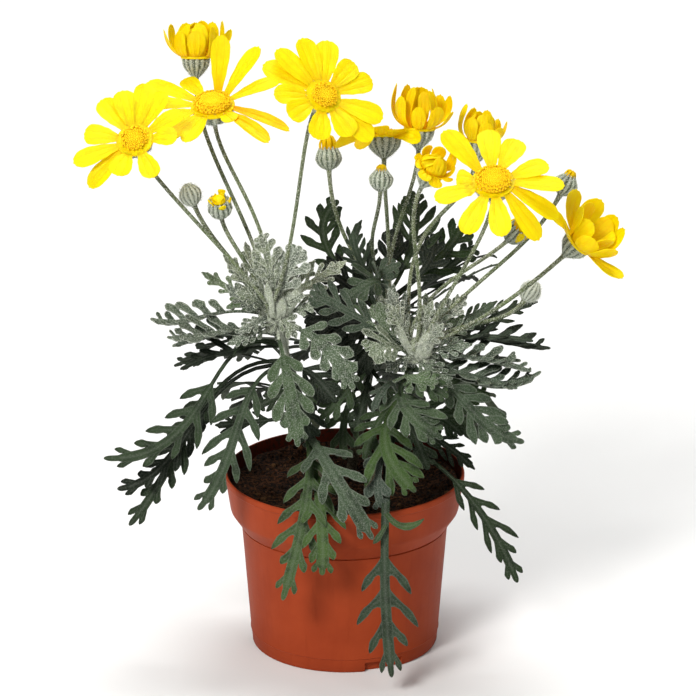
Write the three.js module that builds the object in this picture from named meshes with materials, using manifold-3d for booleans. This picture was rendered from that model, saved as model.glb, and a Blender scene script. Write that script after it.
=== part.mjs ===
// A gray-leaved euryops in a round plastic pot: three leafy shoots with cut leaves, ten yellow blooms
// and seven buds. Millimetres, +Z up, the pot's base at z = 0 and its middle at x = y = 0.
// The front of the plant looks along -Y.

import * as THREE from 'three';
import { mergeVertices } from 'three/addons/utils/BufferGeometryUtils.js';
import Module from 'manifold-3d';

const wasm = await Module();
wasm.setup();

const UP = new THREE.Vector3(0, 0, 1);
const vec = (point) => new THREE.Vector3(point[0], point[1], point[2]);

// Pot
const RIM_RADIUS = 60;
const RIM_HEIGHT = 90;
const COLLAR_RADIUS = 57; // foot of the collar
const COLLAR_FOOT = 71;
const SHOULDER_RADIUS = 51.6; // where the lower wall starts
const SHOULDER_FOOT = 63.5;
const FOOT_RADIUS = 46.6;
const BASE_THICK = 1.8;
const WALL = 1.8;
const INNER_RISE = 0.6; // the wall's inner corners lie this much above its outer ones
const LIP_ROUND = 0.7;
const FOOT_ROUND = 1.2;
const POT_SIDES = 32;
const NOTCH_ANGLES = [-65, 55, 175]; // degrees round from +X
const NOTCH_HEIGHT = 5;
const NOTCH_WIDTH = 20;
const NOTCH_DEPTH = 3;
const NOTCH_PAST = 1; // part of that depth which lies outside the foot

// Soil
const SOIL_TOP = 82;
const SOIL_GAP = 0.3; // between the soil and what it touches
const SOIL_SIDES = 22;
const SOIL_EDGE_GAP = 0.5; // from the pot's wall
const SOIL_BUMP = 1.2;
const SOIL_RING = 36; // radius of the uneven middle
const HOLE_SIDES = 8;
const HOLE_GAP = 0.7; // round a stem
const HOLE_RISE = 4; // a hole is cut this far above the soil's top

// Shoots, leaves and stalks
const STEM_RADIUS = 2.7;
const STEM_TOP_RADIUS = 2.1;
const STEM_SIDES = 7;
const CROWN_RADIUS = 4.4;
const CROWN_HALF = 4; // half its height
const CROWN_NECK = 3;
const CROWN_SIDES = 8;
const CROWN_RING = 2.6; // stalks leave the crown round a ring of this radius
const LEAF_ROOT = 1.3; // a leaf starts this far from the stem's middle
const STALK_RADIUS = 1.15;
const STALK_SIDES = 5;
const STALK_STEPS = 4;
const STALK_STRAIGHT = 0.3; // share of a stalk that is nearly in line with its head
const STALK_SUNK = 0.5; // a stalk's end lies this deep in its cup or bud
const STALK_SWELL = 0.15; // how much thicker a stalk is under its head
const LEAF_THICK = 0.8;
const LEAF_BARE = 0.3; // share of a leaf that has no lobes
const LEAF_LOBED = 0.92; // where the last lobes end
const LEAF_STALK_HALF = 0.9; // half width of the bare share
const RIB_HALF = 2.5; // half width of the middle blade at the last lobes
const LOBE_FOOT = 0.6; // share of the way between two lobes that a lobe's foot takes
const LOBE_TIP = 3.2; // width across a lobe's blunt end
const SMALL_REACH = 5; // lobes that reach no further end in a point
const LONG_LEAF = 70; // leaves longer than this have a curved stalk
const LOBE_UNEVEN = 0.14; // share by which lobes differ in length
const LOBE_LIFT = 0.16; // share of its reach by which a lobe bends off the blade
const NECK_HALF = 1.4; // half width just behind the tip
const TIP_SPREAD = 4.1; // most that a leaf's last two lobes spread
const LOBE_FORWARD = 1.05; // how far a lobe leans towards the tip, against its sideways reach
const FACE_FRONT = [0, -0.7, 0.7];
const FACE_BACK = [0, 0.55, 0.8];
const FACE_UPRIGHT = [0, -1, 0.2];
const FACE_SKY = [0, -0.15, 1];
const FACE_BEHIND = 24; // a leaf whose tip lies further back than this faces the back

// Blooms
const HUB_THICK = 1.2;
const HUB_REACH = 2.4; // hub beyond the disc
const RAY_THICK = 0.8;
const RAY_ROOT_HALF = 1.5;
const RAY_ROOT_OUT = 0.9; // a ray starts this far outside the disc
const RAY_ARCH = 1.2; // rise of a ray's middle
const RAY_LIFT = 1.5; // flat rays end this much above the head's base ring
const RAY_STEP = 0.7; // every other ray lies this much higher, so that neighbours pass
const DISC_GAP = 0.3;
const DISC_SIDES = 10;
const CUP_HEIGHT = 9.5;
const CUP_INSET = 1; // rim of the cup inside the hub's edge
const CUP_SIDES = 8;
const CUP_RIBS = 0.035; // ribs stand out by this share of the radius
const BUD_HEIGHT = 11;
const BUD_RIBS = 0.045;
const BUD_CUT = 0.93; // share of its height at which an opening bud is cut off
const TIP_SIDES = 10;
const TIP_RIBS = 0.16;
const CAMERA_ELEVATION = 20.4; // degrees, of the view that heads are laid out in
const FINEST = 0.1; // detail finer than this is merged after pieces are fused

// Unevenness between -1 and 1 that is the same in each run.
function uneven(seed) {
  const wave = Math.sin(seed * 12.9898 + 4.137) * 43758.5453;
  return 2 * (wave - Math.floor(wave)) - 1;
}

// Each shoot: the line of its stem, from under the soil to the crown.
const STEMS = {
  left: [[-10, -3, 58], [-12, -4, 82], [-18, -6, 110], [-26, -8, 145], [-37, -12, 179]],
  right: [[11, -5, 58], [12, -6, 82], [18, -7, 105], [27, -9, 128], [35, -16, 161]],
  back: [[3, 12, 58], [3, 13, 82], [8, 16, 110], [14, 19, 145], [20, 22, 176]],
};

// Leaves: the height at which each leaves its stem, a point halfway along, its tip,
// how many pairs of lobes it has and how far they reach sideways.
const LEAVES = {
  left: [
    {
      name: 'side_1', height: 177, via: [-61, -8, 177], past: [-78, -6, 172], tip: [-95, -4, 172],
      pairs: 5, reach: 7, lobe: 5, face: FACE_SKY, fold: 0.45,
    },
    {
      name: 'side_2', height: 171, via: [-57, -20, 172], past: [-72, -26, 171], tip: [-86, -30, 172],
      pairs: 4, reach: 7, lobe: 5, face: FACE_SKY, fold: 0.4,
    },
    {
      name: 'side_3', height: 160, via: [-56, 2, 159], past: [-70, 8, 151], tip: [-84, 12, 142],
      pairs: 4, reach: 6.5, face: FACE_SKY, fold: 0.5,
    },
    { name: 'side_4', height: 178, via: [-55, 4, 184], tip: [-70, 8, 192], pairs: 3, reach: 4 },
    {
      name: 'arch_long', height: 162, via: [-59, -24, 156], past: [-79, -30, 126], tip: [-117, -34, 110],
      pairs: 4, reach: 9, bare: 0.45,
    },
    {
      name: 'arch_low', height: 152, via: [-61, -8, 139], past: [-83, -16, 107], tip: [-106, -22, 71],
      pairs: 5, reach: 6.5, bare: 0.42,
    },
    {
      name: 'front_broad', height: 150, via: [-46, -36, 146], past: [-56, -46, 120], tip: [-71, -54, 92],
      pairs: 5, reach: 9, lobe: 4,
    },
    {
      name: 'front_round', height: 170, via: [-28, -34, 153], tip: [-23, -48, 123],
      pairs: 4, reach: 7.5, lobe: 5,
    },
    {
      name: 'front_rib', height: 172, via: [-13, -34, 172], tip: [4, -46, 152],
      pairs: 4, reach: 7, lobe: 5,
    },
    { name: 'thin_low', height: 122, via: [-47, 5, 114], tip: [-64, 14, 109], pairs: 3, reach: 5 },
    { name: 'dark_low', height: 148, via: [-58, 18, 146], tip: [-77, 32, 135], pairs: 4, reach: 7 },
    { name: 'hang_left', height: 118, via: [-18, -58, 103], tip: [-30, -70, 51], pairs: 5, reach: 10 },
    { name: 'hang_mid', height: 116, via: [-12, -62, 96], tip: [-11, -70, 64], pairs: 4, reach: 8 },
    {
      name: 'hang_gray', height: 114, via: [-8, -57, 115], tip: [13, -75, 85],
      pairs: 3, reach: 10, lobe: 5,
    },
    { name: 'rear_left', height: 132, via: [-58, 34, 122], tip: [-86, 52, 84], pairs: 3, reach: 9 },
    { name: 'young_left', height: 178, via: [-48, -14, 196], tip: [-59, -12, 208], pairs: 3, reach: 4 },
    { name: 'young_back', height: 178, via: [-44, 4, 193], tip: [-49, 12, 206], pairs: 3, reach: 4 },
    {
      name: 'young_top', height: 178, via: [-37, -20, 205], tip: [-41, -22, 222],
      pairs: 3, reach: 5.5, lobe: 4,
    },
    { name: 'young_right', height: 178, via: [-18, -4, 190], tip: [0, 2, 200], pairs: 4, reach: 5 },
    {
      name: 'young_broad', height: 178, via: [-28, -20, 201], tip: [-22, -22, 216],
      pairs: 3, reach: 6.5, lobe: 4,
    },
  ],
  right: [
    {
      name: 'hang_long', height: 118, via: [20, -66, 94], past: [20, -74, 55], tip: [23, -76, 13],
      pairs: 3, reach: 11, bare: 0.52,
    },
    {
      name: 'front_green', height: 134, via: [20, -46, 123], tip: [34, -56, 102],
      pairs: 3, reach: 11, lobe: 5,
    },
    {
      name: 'centre_broad', height: 145, via: [29, -44, 142], tip: [47, -52, 128],
      pairs: 4, reach: 9, lobe: 5,
    },
    { name: 'middle_low', height: 156, via: [22, -30, 168], tip: [13, -38, 166], pairs: 3, reach: 8 },
    {
      name: 'middle_high', height: 160, via: [3, -22, 182], tip: [-16, -26, 194],
      pairs: 4, reach: 8, lobe: 4,
    },
    {
      name: 'rim_right', height: 112, via: [48, -30, 103], past: [69, -40, 81], tip: [85, -45, 50],
      pairs: 4, reach: 6.5, bare: 0.42,
    },
    {
      name: 'side_broad', height: 150, via: [53, -30, 145], past: [67, -38, 132], tip: [87, -42, 122],
      pairs: 5, reach: 7.5, lobe: 5,
    },
    {
      name: 'side_mid', height: 154, via: [50, -14, 149], past: [71, -18, 143], tip: [96, -18, 149],
      pairs: 5, reach: 9, lobe: 5, face: FACE_SKY, fold: 0.6,
    },
    {
      name: 'side_high', height: 158, via: [57, -4, 162], past: [78, 0, 159], tip: [101, 4, 154],
      pairs: 4, reach: 7, lobe: 5, face: FACE_SKY, fold: 0.5,
    },
    {
      name: 'side_top', height: 160, via: [57, 6, 160], past: [76, 12, 168], tip: [95, 18, 173],
      pairs: 4, reach: 5,
    },
    { name: 'low_side', height: 118, via: [50, 4, 119], tip: [66, 8, 106], pairs: 4, reach: 7 },
    { name: 'rear_right', height: 130, via: [56, 32, 126], tip: [79, 52, 98], pairs: 3, reach: 7 },
    { name: 'centre_down', height: 132, via: [17, -30, 128], tip: [10, -38, 112], pairs: 3, reach: 7 },
    { name: 'centre_side', height: 150, via: [32, -36, 153], tip: [45, -44, 154], pairs: 3, reach: 6 },
    { name: 'young_right', height: 160, via: [51, -6, 174], tip: [60, 2, 183], pairs: 3, reach: 4 },
    { name: 'young_left', height: 160, via: [27, -17, 178], tip: [22, -19, 193], pairs: 3, reach: 4 },
    { name: 'young_front', height: 160, via: [42, -27, 170], tip: [48, -33, 180], pairs: 3, reach: 4 },
    { name: 'young_inner', height: 160, via: [28, -20, 175], tip: [22, -22, 186], pairs: 3, reach: 4 },
    { name: 'young_mid', height: 160, via: [39, -18, 174], tip: [43, -20, 187], pairs: 3, reach: 4 },
  ],
  back: [
    { name: 'up_left', height: 168, via: [-9, 34, 197], tip: [-4, 38, 219], pairs: 4, reach: 7, up: true },
    { name: 'up_tall', height: 172, via: [33, 34, 196], tip: [34, 40, 223], pairs: 5, reach: 9, up: true },
    { name: 'up_short', height: 168, via: [5, 27, 192], tip: [8, 31, 211], pairs: 3, reach: 5, up: true },
    {
      name: 'up_right', height: 168, via: [48, 42, 189], tip: [58, 51, 201],
      pairs: 3, reach: 8, up: true,
    },
    { name: 'up_far', height: 162, via: [50, 48, 179], tip: [65, 63, 186], pairs: 3, reach: 6, up: true },
    { name: 'up_cross', height: 166, via: [14, 13, 184], tip: [27, 10, 196], pairs: 3, reach: 6 },
    { name: 'dark_mid', height: 158, via: [-2, 14, 168], tip: [-17, 8, 160], pairs: 3, reach: 7 },
    { name: 'centre_dark', height: 140, via: [1, 0, 122], tip: [0, -9, 101], pairs: 3, reach: 6 },
    { name: 'fill_left', height: 148, via: [-14, 16, 123], tip: [-29, 14, 112], pairs: 3, reach: 6 },
    { name: 'thin_right', height: 150, via: [55, 52, 170], tip: [78, 72, 174], pairs: 3, reach: 4 },
    { name: 'rear_1', height: 140, via: [-32, 50, 142], tip: [-54, 78, 120], pairs: 3, reach: 9 },
    { name: 'rear_2', height: 125, via: [-12, 62, 112], tip: [-22, 84, 68], pairs: 4, reach: 9 },
    { name: 'rear_3', height: 130, via: [20, 66, 122], tip: [22, 92, 84], pairs: 3, reach: 10 },
    { name: 'rear_4', height: 122, via: [46, 54, 112], tip: [68, 74, 80], pairs: 3, reach: 9 },
    { name: 'rear_5', height: 155, via: [2, 58, 160], tip: [-6, 88, 148], pairs: 3, reach: 8 },
    { name: 'rear_6', height: 150, via: [42, 60, 150], tip: [60, 84, 134], pairs: 3, reach: 8 },
  ],
};

// Flower heads. at: middle of the head's base ring. toward: where the head looks, and rays: each ray's
// tip from that middle, both as right, up and away of a viewer in front and a little above.
// Two numbers for a ray leave its depth to the plane of the bloom.
const HEADS = [
  {
    name: 'a', stem: 'left', at: [-102.1, -14, 268.6], via: [-63, -13, 215],
    toward: [-0.16, 0.5, -0.85], disc: 7, longest: 32, width: 10.5, cupped: 0,
    rays: [[-29.8, -11.4], [-22.5, -22.5], [-8.3, -17.7], [9.4, -18], [20.8, 1.6], [23, 14.2],
      [14.2, 23.7], [5.3, 28.8], [-6.6, 24.6], [-17.5, 20.6], [-25, 3]],
  },
  {
    name: 'b', stem: 'left', at: [-64.8, 16, 276.1], via: [-48, 6, 231],
    toward: [-0.08, 0.8, -0.6], disc: 8.6, longest: 40, width: 9.5, cupped: 0,
    rays: [[4.5, 35, 4], [22.3, 30.8], [33, 13.5], [37.5, -11.5], [27.6, -18.8], [10, -7], [-12.6, -18.8],
      [-24, -17], [-33, 12], [-32, 2], [-14.5, 14], [-22, -6]],
  },
  {
    name: 'c', stem: 'left', at: [-73.7, 44, 292.2], via: [-59, 20, 236],
    toward: [0, 1, -0.1], disc: 5.2, longest: 25, width: 8.5, cupped: 1,
    rays: [[-15.8, 13.3, -4], [-12.5, 18, 5], [-5, 17.5, 10], [-7.5, 14, -9], [0.5, 12.5, -11],
      [8.2, 16, -7], [13, 18, 2], [17.1, 15.5, 8], [8, 18, 11], [1.5, 17, 13]],
  },
  {
    name: 'd', stem: 'left', at: [-10.4, -18, 292.4], via: [-23, -14, 239],
    toward: [0.3, 0.4, -0.86], disc: 6.6, longest: 32, width: 12, cupped: 0,
    rays: [[-10.4, 28.6], [2.2, 28.2], [14.9, 16.8], [24, 8.9], [28.8, -10.8], [24, -20.9],
      [13.3, -19.6], [-2.2, -20.9], [-16.8, -10.1], [-23.6, 1], [-29.4, 15.2], [-22.5, 23.1]],
  },
  {
    name: 'e', stem: 'back', at: [19.5, 18, 258.8], via: [21, 20, 218],
    toward: [0, 1, 0.1], disc: 6.6, longest: 27, width: 9, cupped: 1,
    rays: [[-24, -4, -7], [-12, -5, -17], [-2, 5, -17], [8, 5, -16], [16.5, 0.5, -20],
      [13, 4, 18], [4, 4, 22], [-9, 4, 20], [-20, 3, 9]],
  },
  {
    name: 'f', stem: 'back', at: [37, 15, 265], via: [29, 18, 221],
    toward: [0.05, 0.98, -0.2], disc: 5.6, longest: 26, width: 8.5, cupped: 1,
    rays: [[-11.4, 21.5, -3], [-6, 23, 7], [2.2, 20, 11], [10.4, 18, 9], [15, 15.8, 3],
      [16.2, 8.9, -6], [9, 9.5, -14], [-0.5, 11, -16], [-9, 15, -11]],
  },
  {
    name: 'g', stem: 'right', at: [66.6, 36, 250.7], via: [44, 26, 212],
    toward: [0.15, 0.98, -0.1], disc: 4.8, longest: 23, width: 8, cupped: 1,
    rays: [[-6, 18.5, -4], [-2, 18.5, 5], [4.5, 16, 9], [10, 13, 7], [14, 10, 1], [11, 8, -8],
      [4, 9, -11], [-3, 13, -10]],
  },
  {
    name: 'h', stem: 'right', at: [42.2, -22, 255.8], via: [35, -18, 211],
    toward: [0.45, 0.75, -0.5], disc: 5, longest: 15, width: 7, cupped: 1,
    rays: [[-8, 2, -4], [-7, 8.5, -1], [-1, 12, 1], [6, 12, 0], [11, 8, -1], [12, 2, -4],
      [9, -6, -6], [2, -8, -9], [-5, -5, -9]],
  },
  {
    name: 'i', stem: 'right', at: [72.2, -34, 253.7], via: [60, -26, 210],
    toward: [0, 0.66, -0.75], disc: 8.2, longest: 36, width: 11.5, cupped: 0,
    rays: [[-2.2, 26], [13, 21.8], [27, 8.5], [34.5, -1], [31.4, -17.5], [22, -27.5], [3.7, -27],
      [-14.2, -24.7], [-28.2, -9.2], [-18, 2], [-24, 25], [-15.5, -3]],
  },
  {
    name: 'j', stem: 'right', at: [114.8, -8, 213.6], via: [78, -12, 183],
    toward: [0.68, 0.62, -0.4], disc: 5.6, longest: 29, width: 10.5, cupped: 1,
    rays: [[-1, 26, 4], [12.3, 21.8, 6], [19.2, 12.1, 3], [23.4, 7, -4], [17.5, -4, -13],
      [22, -17, -8], [7, 1, -18], [-6, 9, -14], [-14, 14, -5]],
  },
];

// Buds. spread: how wide they have opened, which sets the petal tips that show; 0 shows none.
const BUDS = [
  {
    name: 'k', stem: 'back', at: [-7.7, 30, 238.7], via: [-2, 27, 210],
    toward: [-0.05, 1, 0], radius: 6.2, spread: 0.8,
  },
  {
    name: 'l', stem: 'back', at: [17.6, -6, 239.8], via: [14, 8, 213],
    toward: [0.05, 1, -0.1], radius: 5.6, spread: 0.35,
  },
  {
    name: 'm', stem: 'left', at: [-74, 4, 229], via: [-57, -2, 204],
    toward: [-0.35, 0.9, -0.1], radius: 5.3, spread: 0,
  },
  {
    name: 'n', stem: 'left', at: [-60.5, -10, 228], via: [-50, -12, 207],
    toward: [-0.1, 0.75, -0.65], radius: 5.8, spread: 1,
  },
  {
    name: 'o', stem: 'right', at: [107, 26, 227], via: [78, 10, 197],
    toward: [0.45, 0.85, 0], radius: 5.9, spread: 0.45,
  },
  {
    name: 'p', stem: 'right', at: [80.5, 4, 210.7], via: [51, -6, 192],
    toward: [0.6, 0.6, -0.5], radius: 5.6, spread: 1,
  },
  {
    name: 'q', stem: 'right', at: [89, 4, 179], via: [67, -6, 171],
    toward: [0.55, 0.8, 0], radius: 5, spread: 0,
  },
];

const COLOURS = {
  pot: { color: 0xb5502c, roughness: 0.42 },
  soil: { color: 0x2e211b, roughness: 0.98 },
  leaf: { color: 0x71857a, roughness: 0.85 },
  petal: { color: 0xffe600, roughness: 0.6 },
  disc: { color: 0xf5b400, roughness: 0.8 },
  tip: { color: 0xf2a516, roughness: 0.7 },
};

function materialOf(name) {
  return new THREE.MeshStandardMaterial({ name, metalness: 0, ...COLOURS[name] });
}

// Solids

function solidOf(geometry) {
  const bare = new THREE.BufferGeometry();
  bare.setAttribute('position', geometry.getAttribute('position'));
  bare.setIndex(geometry.index);
  const merged = mergeVertices(bare, 1e-4);
  return new wasm.Manifold(new wasm.Mesh({
    numProp: 3,
    vertProperties: merged.attributes.position.array,
    triVerts: new Uint32Array(merged.index.array),
  }));
}

function geometryOf(solid) {
  const mesh = solid.getMesh();
  const geometry = new THREE.BufferGeometry();
  geometry.setAttribute('position', new THREE.BufferAttribute(mesh.vertProperties, 3));
  geometry.setIndex(new THREE.BufferAttribute(mesh.triVerts, 1));
  geometry.computeVertexNormals();
  return geometry;
}

function fused(solids) {
  return solids.reduce((whole, next) => whole.add(next)).asOriginal().simplify(FINEST);
}

const group = new THREE.Group();

function addNode(name, solid, material) {
  const mesh = new THREE.Mesh(geometryOf(solid), materialOf(material));
  mesh.name = name;
  group.add(mesh);
}

function indexed(points, triangles) {
  const geometry = new THREE.BufferGeometry();
  const numbers = points.flatMap((p) => [p.x, p.y, p.z]);
  geometry.setAttribute('position', new THREE.Float32BufferAttribute(numbers, 3));
  geometry.setIndex(triangles.flat());
  return geometry;
}

// A thin blade: each point is thickened to both sides along its normal, with the same triangles
// on both faces and walls round the free edges.
function bladeSolid(points, normals, triangles, thick) {
  const count = points.length;
  const upper = points.map((p, i) => p.clone().addScaledVector(normals[i], thick / 2));
  const lower = points.map((p, i) => p.clone().addScaledVector(normals[i], -thick / 2));
  const faces = [];
  const edges = new Map();
  for (const [a, b, c] of triangles) {
    faces.push([a, b, c]);
    faces.push([c + count, b + count, a + count]);
    for (const [from, to] of [[a, b], [b, c], [c, a]]) edges.set(from + ' ' + to, [from, to]);
  }
  for (const [from, to] of edges.values()) {
    if (edges.has(to + ' ' + from)) continue;
    faces.push([from + count, to + count, to]);
    faces.push([from + count, to, from]);
  }
  return solidOf(indexed([...upper, ...lower], faces));
}

// A round bar of changing radius along a curve.
function barSolid(curve, radii, sides) {
  const steps = radii.length - 1;
  const points = [];
  let across = new THREE.Vector3(0, 1, 0);
  for (let i = 0; i <= steps; i++) {
    const along = curve.getTangent(i / steps);
    across = across.clone().addScaledVector(along, -across.dot(along)).normalize();
    const other = along.clone().cross(across);
    for (let k = 0; k < sides; k++) {
      const turn = (2 * Math.PI * k) / sides;
      points.push(curve.getPoint(i / steps)
        .addScaledVector(across, radii[i] * Math.cos(turn))
        .addScaledVector(other, radii[i] * Math.sin(turn)));
    }
  }
  const faces = [];
  for (let i = 0; i < steps; i++) {
    for (let k = 0; k < sides; k++) {
      const a = i * sides + k;
      const b = i * sides + ((k + 1) % sides);
      faces.push([a, b, b + sides], [a, b + sides, a + sides]);
    }
  }
  for (let k = 1; k < sides - 1; k++) {
    faces.push([0, k + 1, k]);
    const last = steps * sides;
    faces.push([last, last + k, last + k + 1]);
  }
  return solidOf(indexed(points, faces));
}

// A turned solid; the profile rises from axis to axis. ribs makes each second side stand out.
function turnedSolid(profile, sides, ribs = 0) {
  const line = profile.map(([radius, height]) => new THREE.Vector2(radius, height));
  const geometry = new THREE.LatheGeometry(line, sides);
  geometry.deleteAttribute('normal');
  geometry.deleteAttribute('uv');
  const spots = geometry.getAttribute('position');
  for (let i = 0; i < spots.count; i++) {
    const x = spots.getX(i);
    const y = spots.getZ(i);
    const side = Math.round((Math.atan2(y, x) / (2 * Math.PI)) * sides);
    const grow = side % 2 === 0 ? 1 + ribs : 1 - ribs;
    spots.setXYZ(i, x * grow, -y * grow, spots.getY(i));
  }
  return solidOf(geometry);
}

function placed(solid, at, toward) {
  const turn = new THREE.Quaternion().setFromUnitVectors(UP, toward);
  const matrix = new THREE.Matrix4().compose(at, turn, new THREE.Vector3(1, 1, 1));
  return solid.transform(matrix.elements);
}

// Directions of the front view: right, up and away.
const TILT = THREE.MathUtils.degToRad(CAMERA_ELEVATION);
const VIEW_UP = new THREE.Vector3(0, Math.sin(TILT), Math.cos(TILT));
const VIEW_AWAY = new THREE.Vector3(0, Math.cos(TILT), -Math.sin(TILT));

function fromView([right, up, away]) {
  return new THREE.Vector3(right, 0, 0).addScaledVector(VIEW_UP, up).addScaledVector(VIEW_AWAY, away);
}

// Pot

function potSolid() {
  const outside = [
    [0, 0], [FOOT_RADIUS - FOOT_ROUND, 0], [FOOT_RADIUS, FOOT_ROUND],
    [SHOULDER_RADIUS, SHOULDER_FOOT], [COLLAR_RADIUS, COLLAR_FOOT],
    [RIM_RADIUS, RIM_HEIGHT - LIP_ROUND], [RIM_RADIUS - LIP_ROUND, RIM_HEIGHT],
  ];
  const inside = [
    [RIM_RADIUS - WALL, RIM_HEIGHT], [COLLAR_RADIUS - WALL, COLLAR_FOOT + INNER_RISE],
    [SHOULDER_RADIUS - WALL, SHOULDER_FOOT + INNER_RISE], [FOOT_RADIUS - WALL, BASE_THICK + NOTCH_HEIGHT],
    [FOOT_RADIUS - WALL - NOTCH_DEPTH, BASE_THICK], [0, BASE_THICK],
  ];
  let pot = turnedSolid([...outside, ...inside], POT_SIDES);
  for (const angle of NOTCH_ANGLES) {
    const box = new THREE.BoxGeometry(NOTCH_DEPTH, NOTCH_WIDTH, 2 * NOTCH_HEIGHT);
    box.translate(FOOT_RADIUS + NOTCH_PAST - NOTCH_DEPTH / 2, 0, 0);
    box.rotateZ(THREE.MathUtils.degToRad(angle));
    pot = pot.subtract(solidOf(box));
  }
  return pot;
}

// Soil

function soilSolid() {
  const inset = WALL + SOIL_EDGE_GAP;
  const rise = INNER_RISE + SOIL_GAP;
  const wallLow = FOOT_RADIUS - inset;
  const low = BASE_THICK + NOTCH_HEIGHT;
  const wallTop = COLLAR_RADIUS - inset
    + ((RIM_RADIUS - COLLAR_RADIUS) * (SOIL_TOP - COLLAR_FOOT)) / (RIM_HEIGHT - COLLAR_FOOT);
  const profile = [
    [0, BASE_THICK + SOIL_GAP], [wallLow - NOTCH_DEPTH, BASE_THICK + SOIL_GAP], [wallLow, low],
    [SHOULDER_RADIUS - inset, SHOULDER_FOOT + rise], [COLLAR_RADIUS - inset, COLLAR_FOOT + rise],
    [wallTop, SOIL_TOP], [SOIL_RING, SOIL_TOP], [0, SOIL_TOP],
  ];
  const geometry = new THREE.LatheGeometry(profile.map(([r, h]) => new THREE.Vector2(r, h)), SOIL_SIDES);
  geometry.rotateX(Math.PI / 2);
  const spots = geometry.getAttribute('position');
  for (let i = 0; i < spots.count; i++) {
    const x = spots.getX(i);
    const y = spots.getY(i);
    const out = Math.hypot(x, y);
    if (spots.getZ(i) > SOIL_TOP - 0.01 && out > 1 && out < wallTop - 1) {
      const bump = uneven(Math.round(x * 3) + Math.round(y * 3) * 1.7);
      spots.setZ(i, SOIL_TOP + SOIL_BUMP * bump);
    }
  }
  geometry.deleteAttribute('normal');
  geometry.deleteAttribute('uv');
  let soil = solidOf(geometry);
  for (const line of Object.values(STEMS)) {
    const foot = vec(line[0]);
    const edge = vec(line[1]);
    const along = edge.clone().sub(foot).normalize();
    const bottom = foot.clone().addScaledVector(along, -SOIL_GAP);
    const top = edge.clone().addScaledVector(along, HOLE_RISE);
    const radius = STEM_RADIUS + HOLE_GAP;
    soil = soil.subtract(barSolid(new THREE.LineCurve3(bottom, top), [radius, radius], HOLE_SIDES));
  }
  return soil;
}

// Leaves

function stemPoint(stem, height) {
  const line = STEMS[stem];
  for (let i = 1; i < line.length; i++) {
    if (height <= line[i][2]) {
      const share = (height - line[i - 1][2]) / (line[i][2] - line[i - 1][2]);
      return vec(line[i - 1]).lerp(vec(line[i]), share);
    }
  }
  return vec(line[line.length - 1]);
}

// A curve from one point to another that passes a third one halfway.
function curveThrough(start, middle, end) {
  const pull = middle.clone().multiplyScalar(2)
    .addScaledVector(start, -0.5)
    .addScaledVector(end, -0.5);
  return new THREE.QuadraticBezierCurve3(start, pull, end);
}

// The same with two points, passed at a third and two thirds.
function curveThroughTwo(start, first, second, end) {
  const rise = first.clone().multiplyScalar(3).addScaledVector(second, -1.5)
    .addScaledVector(start, -5 / 6).addScaledVector(end, 1 / 3);
  const fall = second.clone().multiplyScalar(3).addScaledVector(first, -1.5)
    .addScaledVector(end, -5 / 6).addScaledVector(start, 1 / 3);
  return new THREE.CubicBezierCurve3(start, rise, fall, end);
}

function leafFace(leaf) {
  if (leaf.face) return leaf.face;
  if (leaf.up) return FACE_UPRIGHT;
  return leaf.tip[1] > FACE_BEHIND ? FACE_BACK : FACE_FRONT;
}

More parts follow.
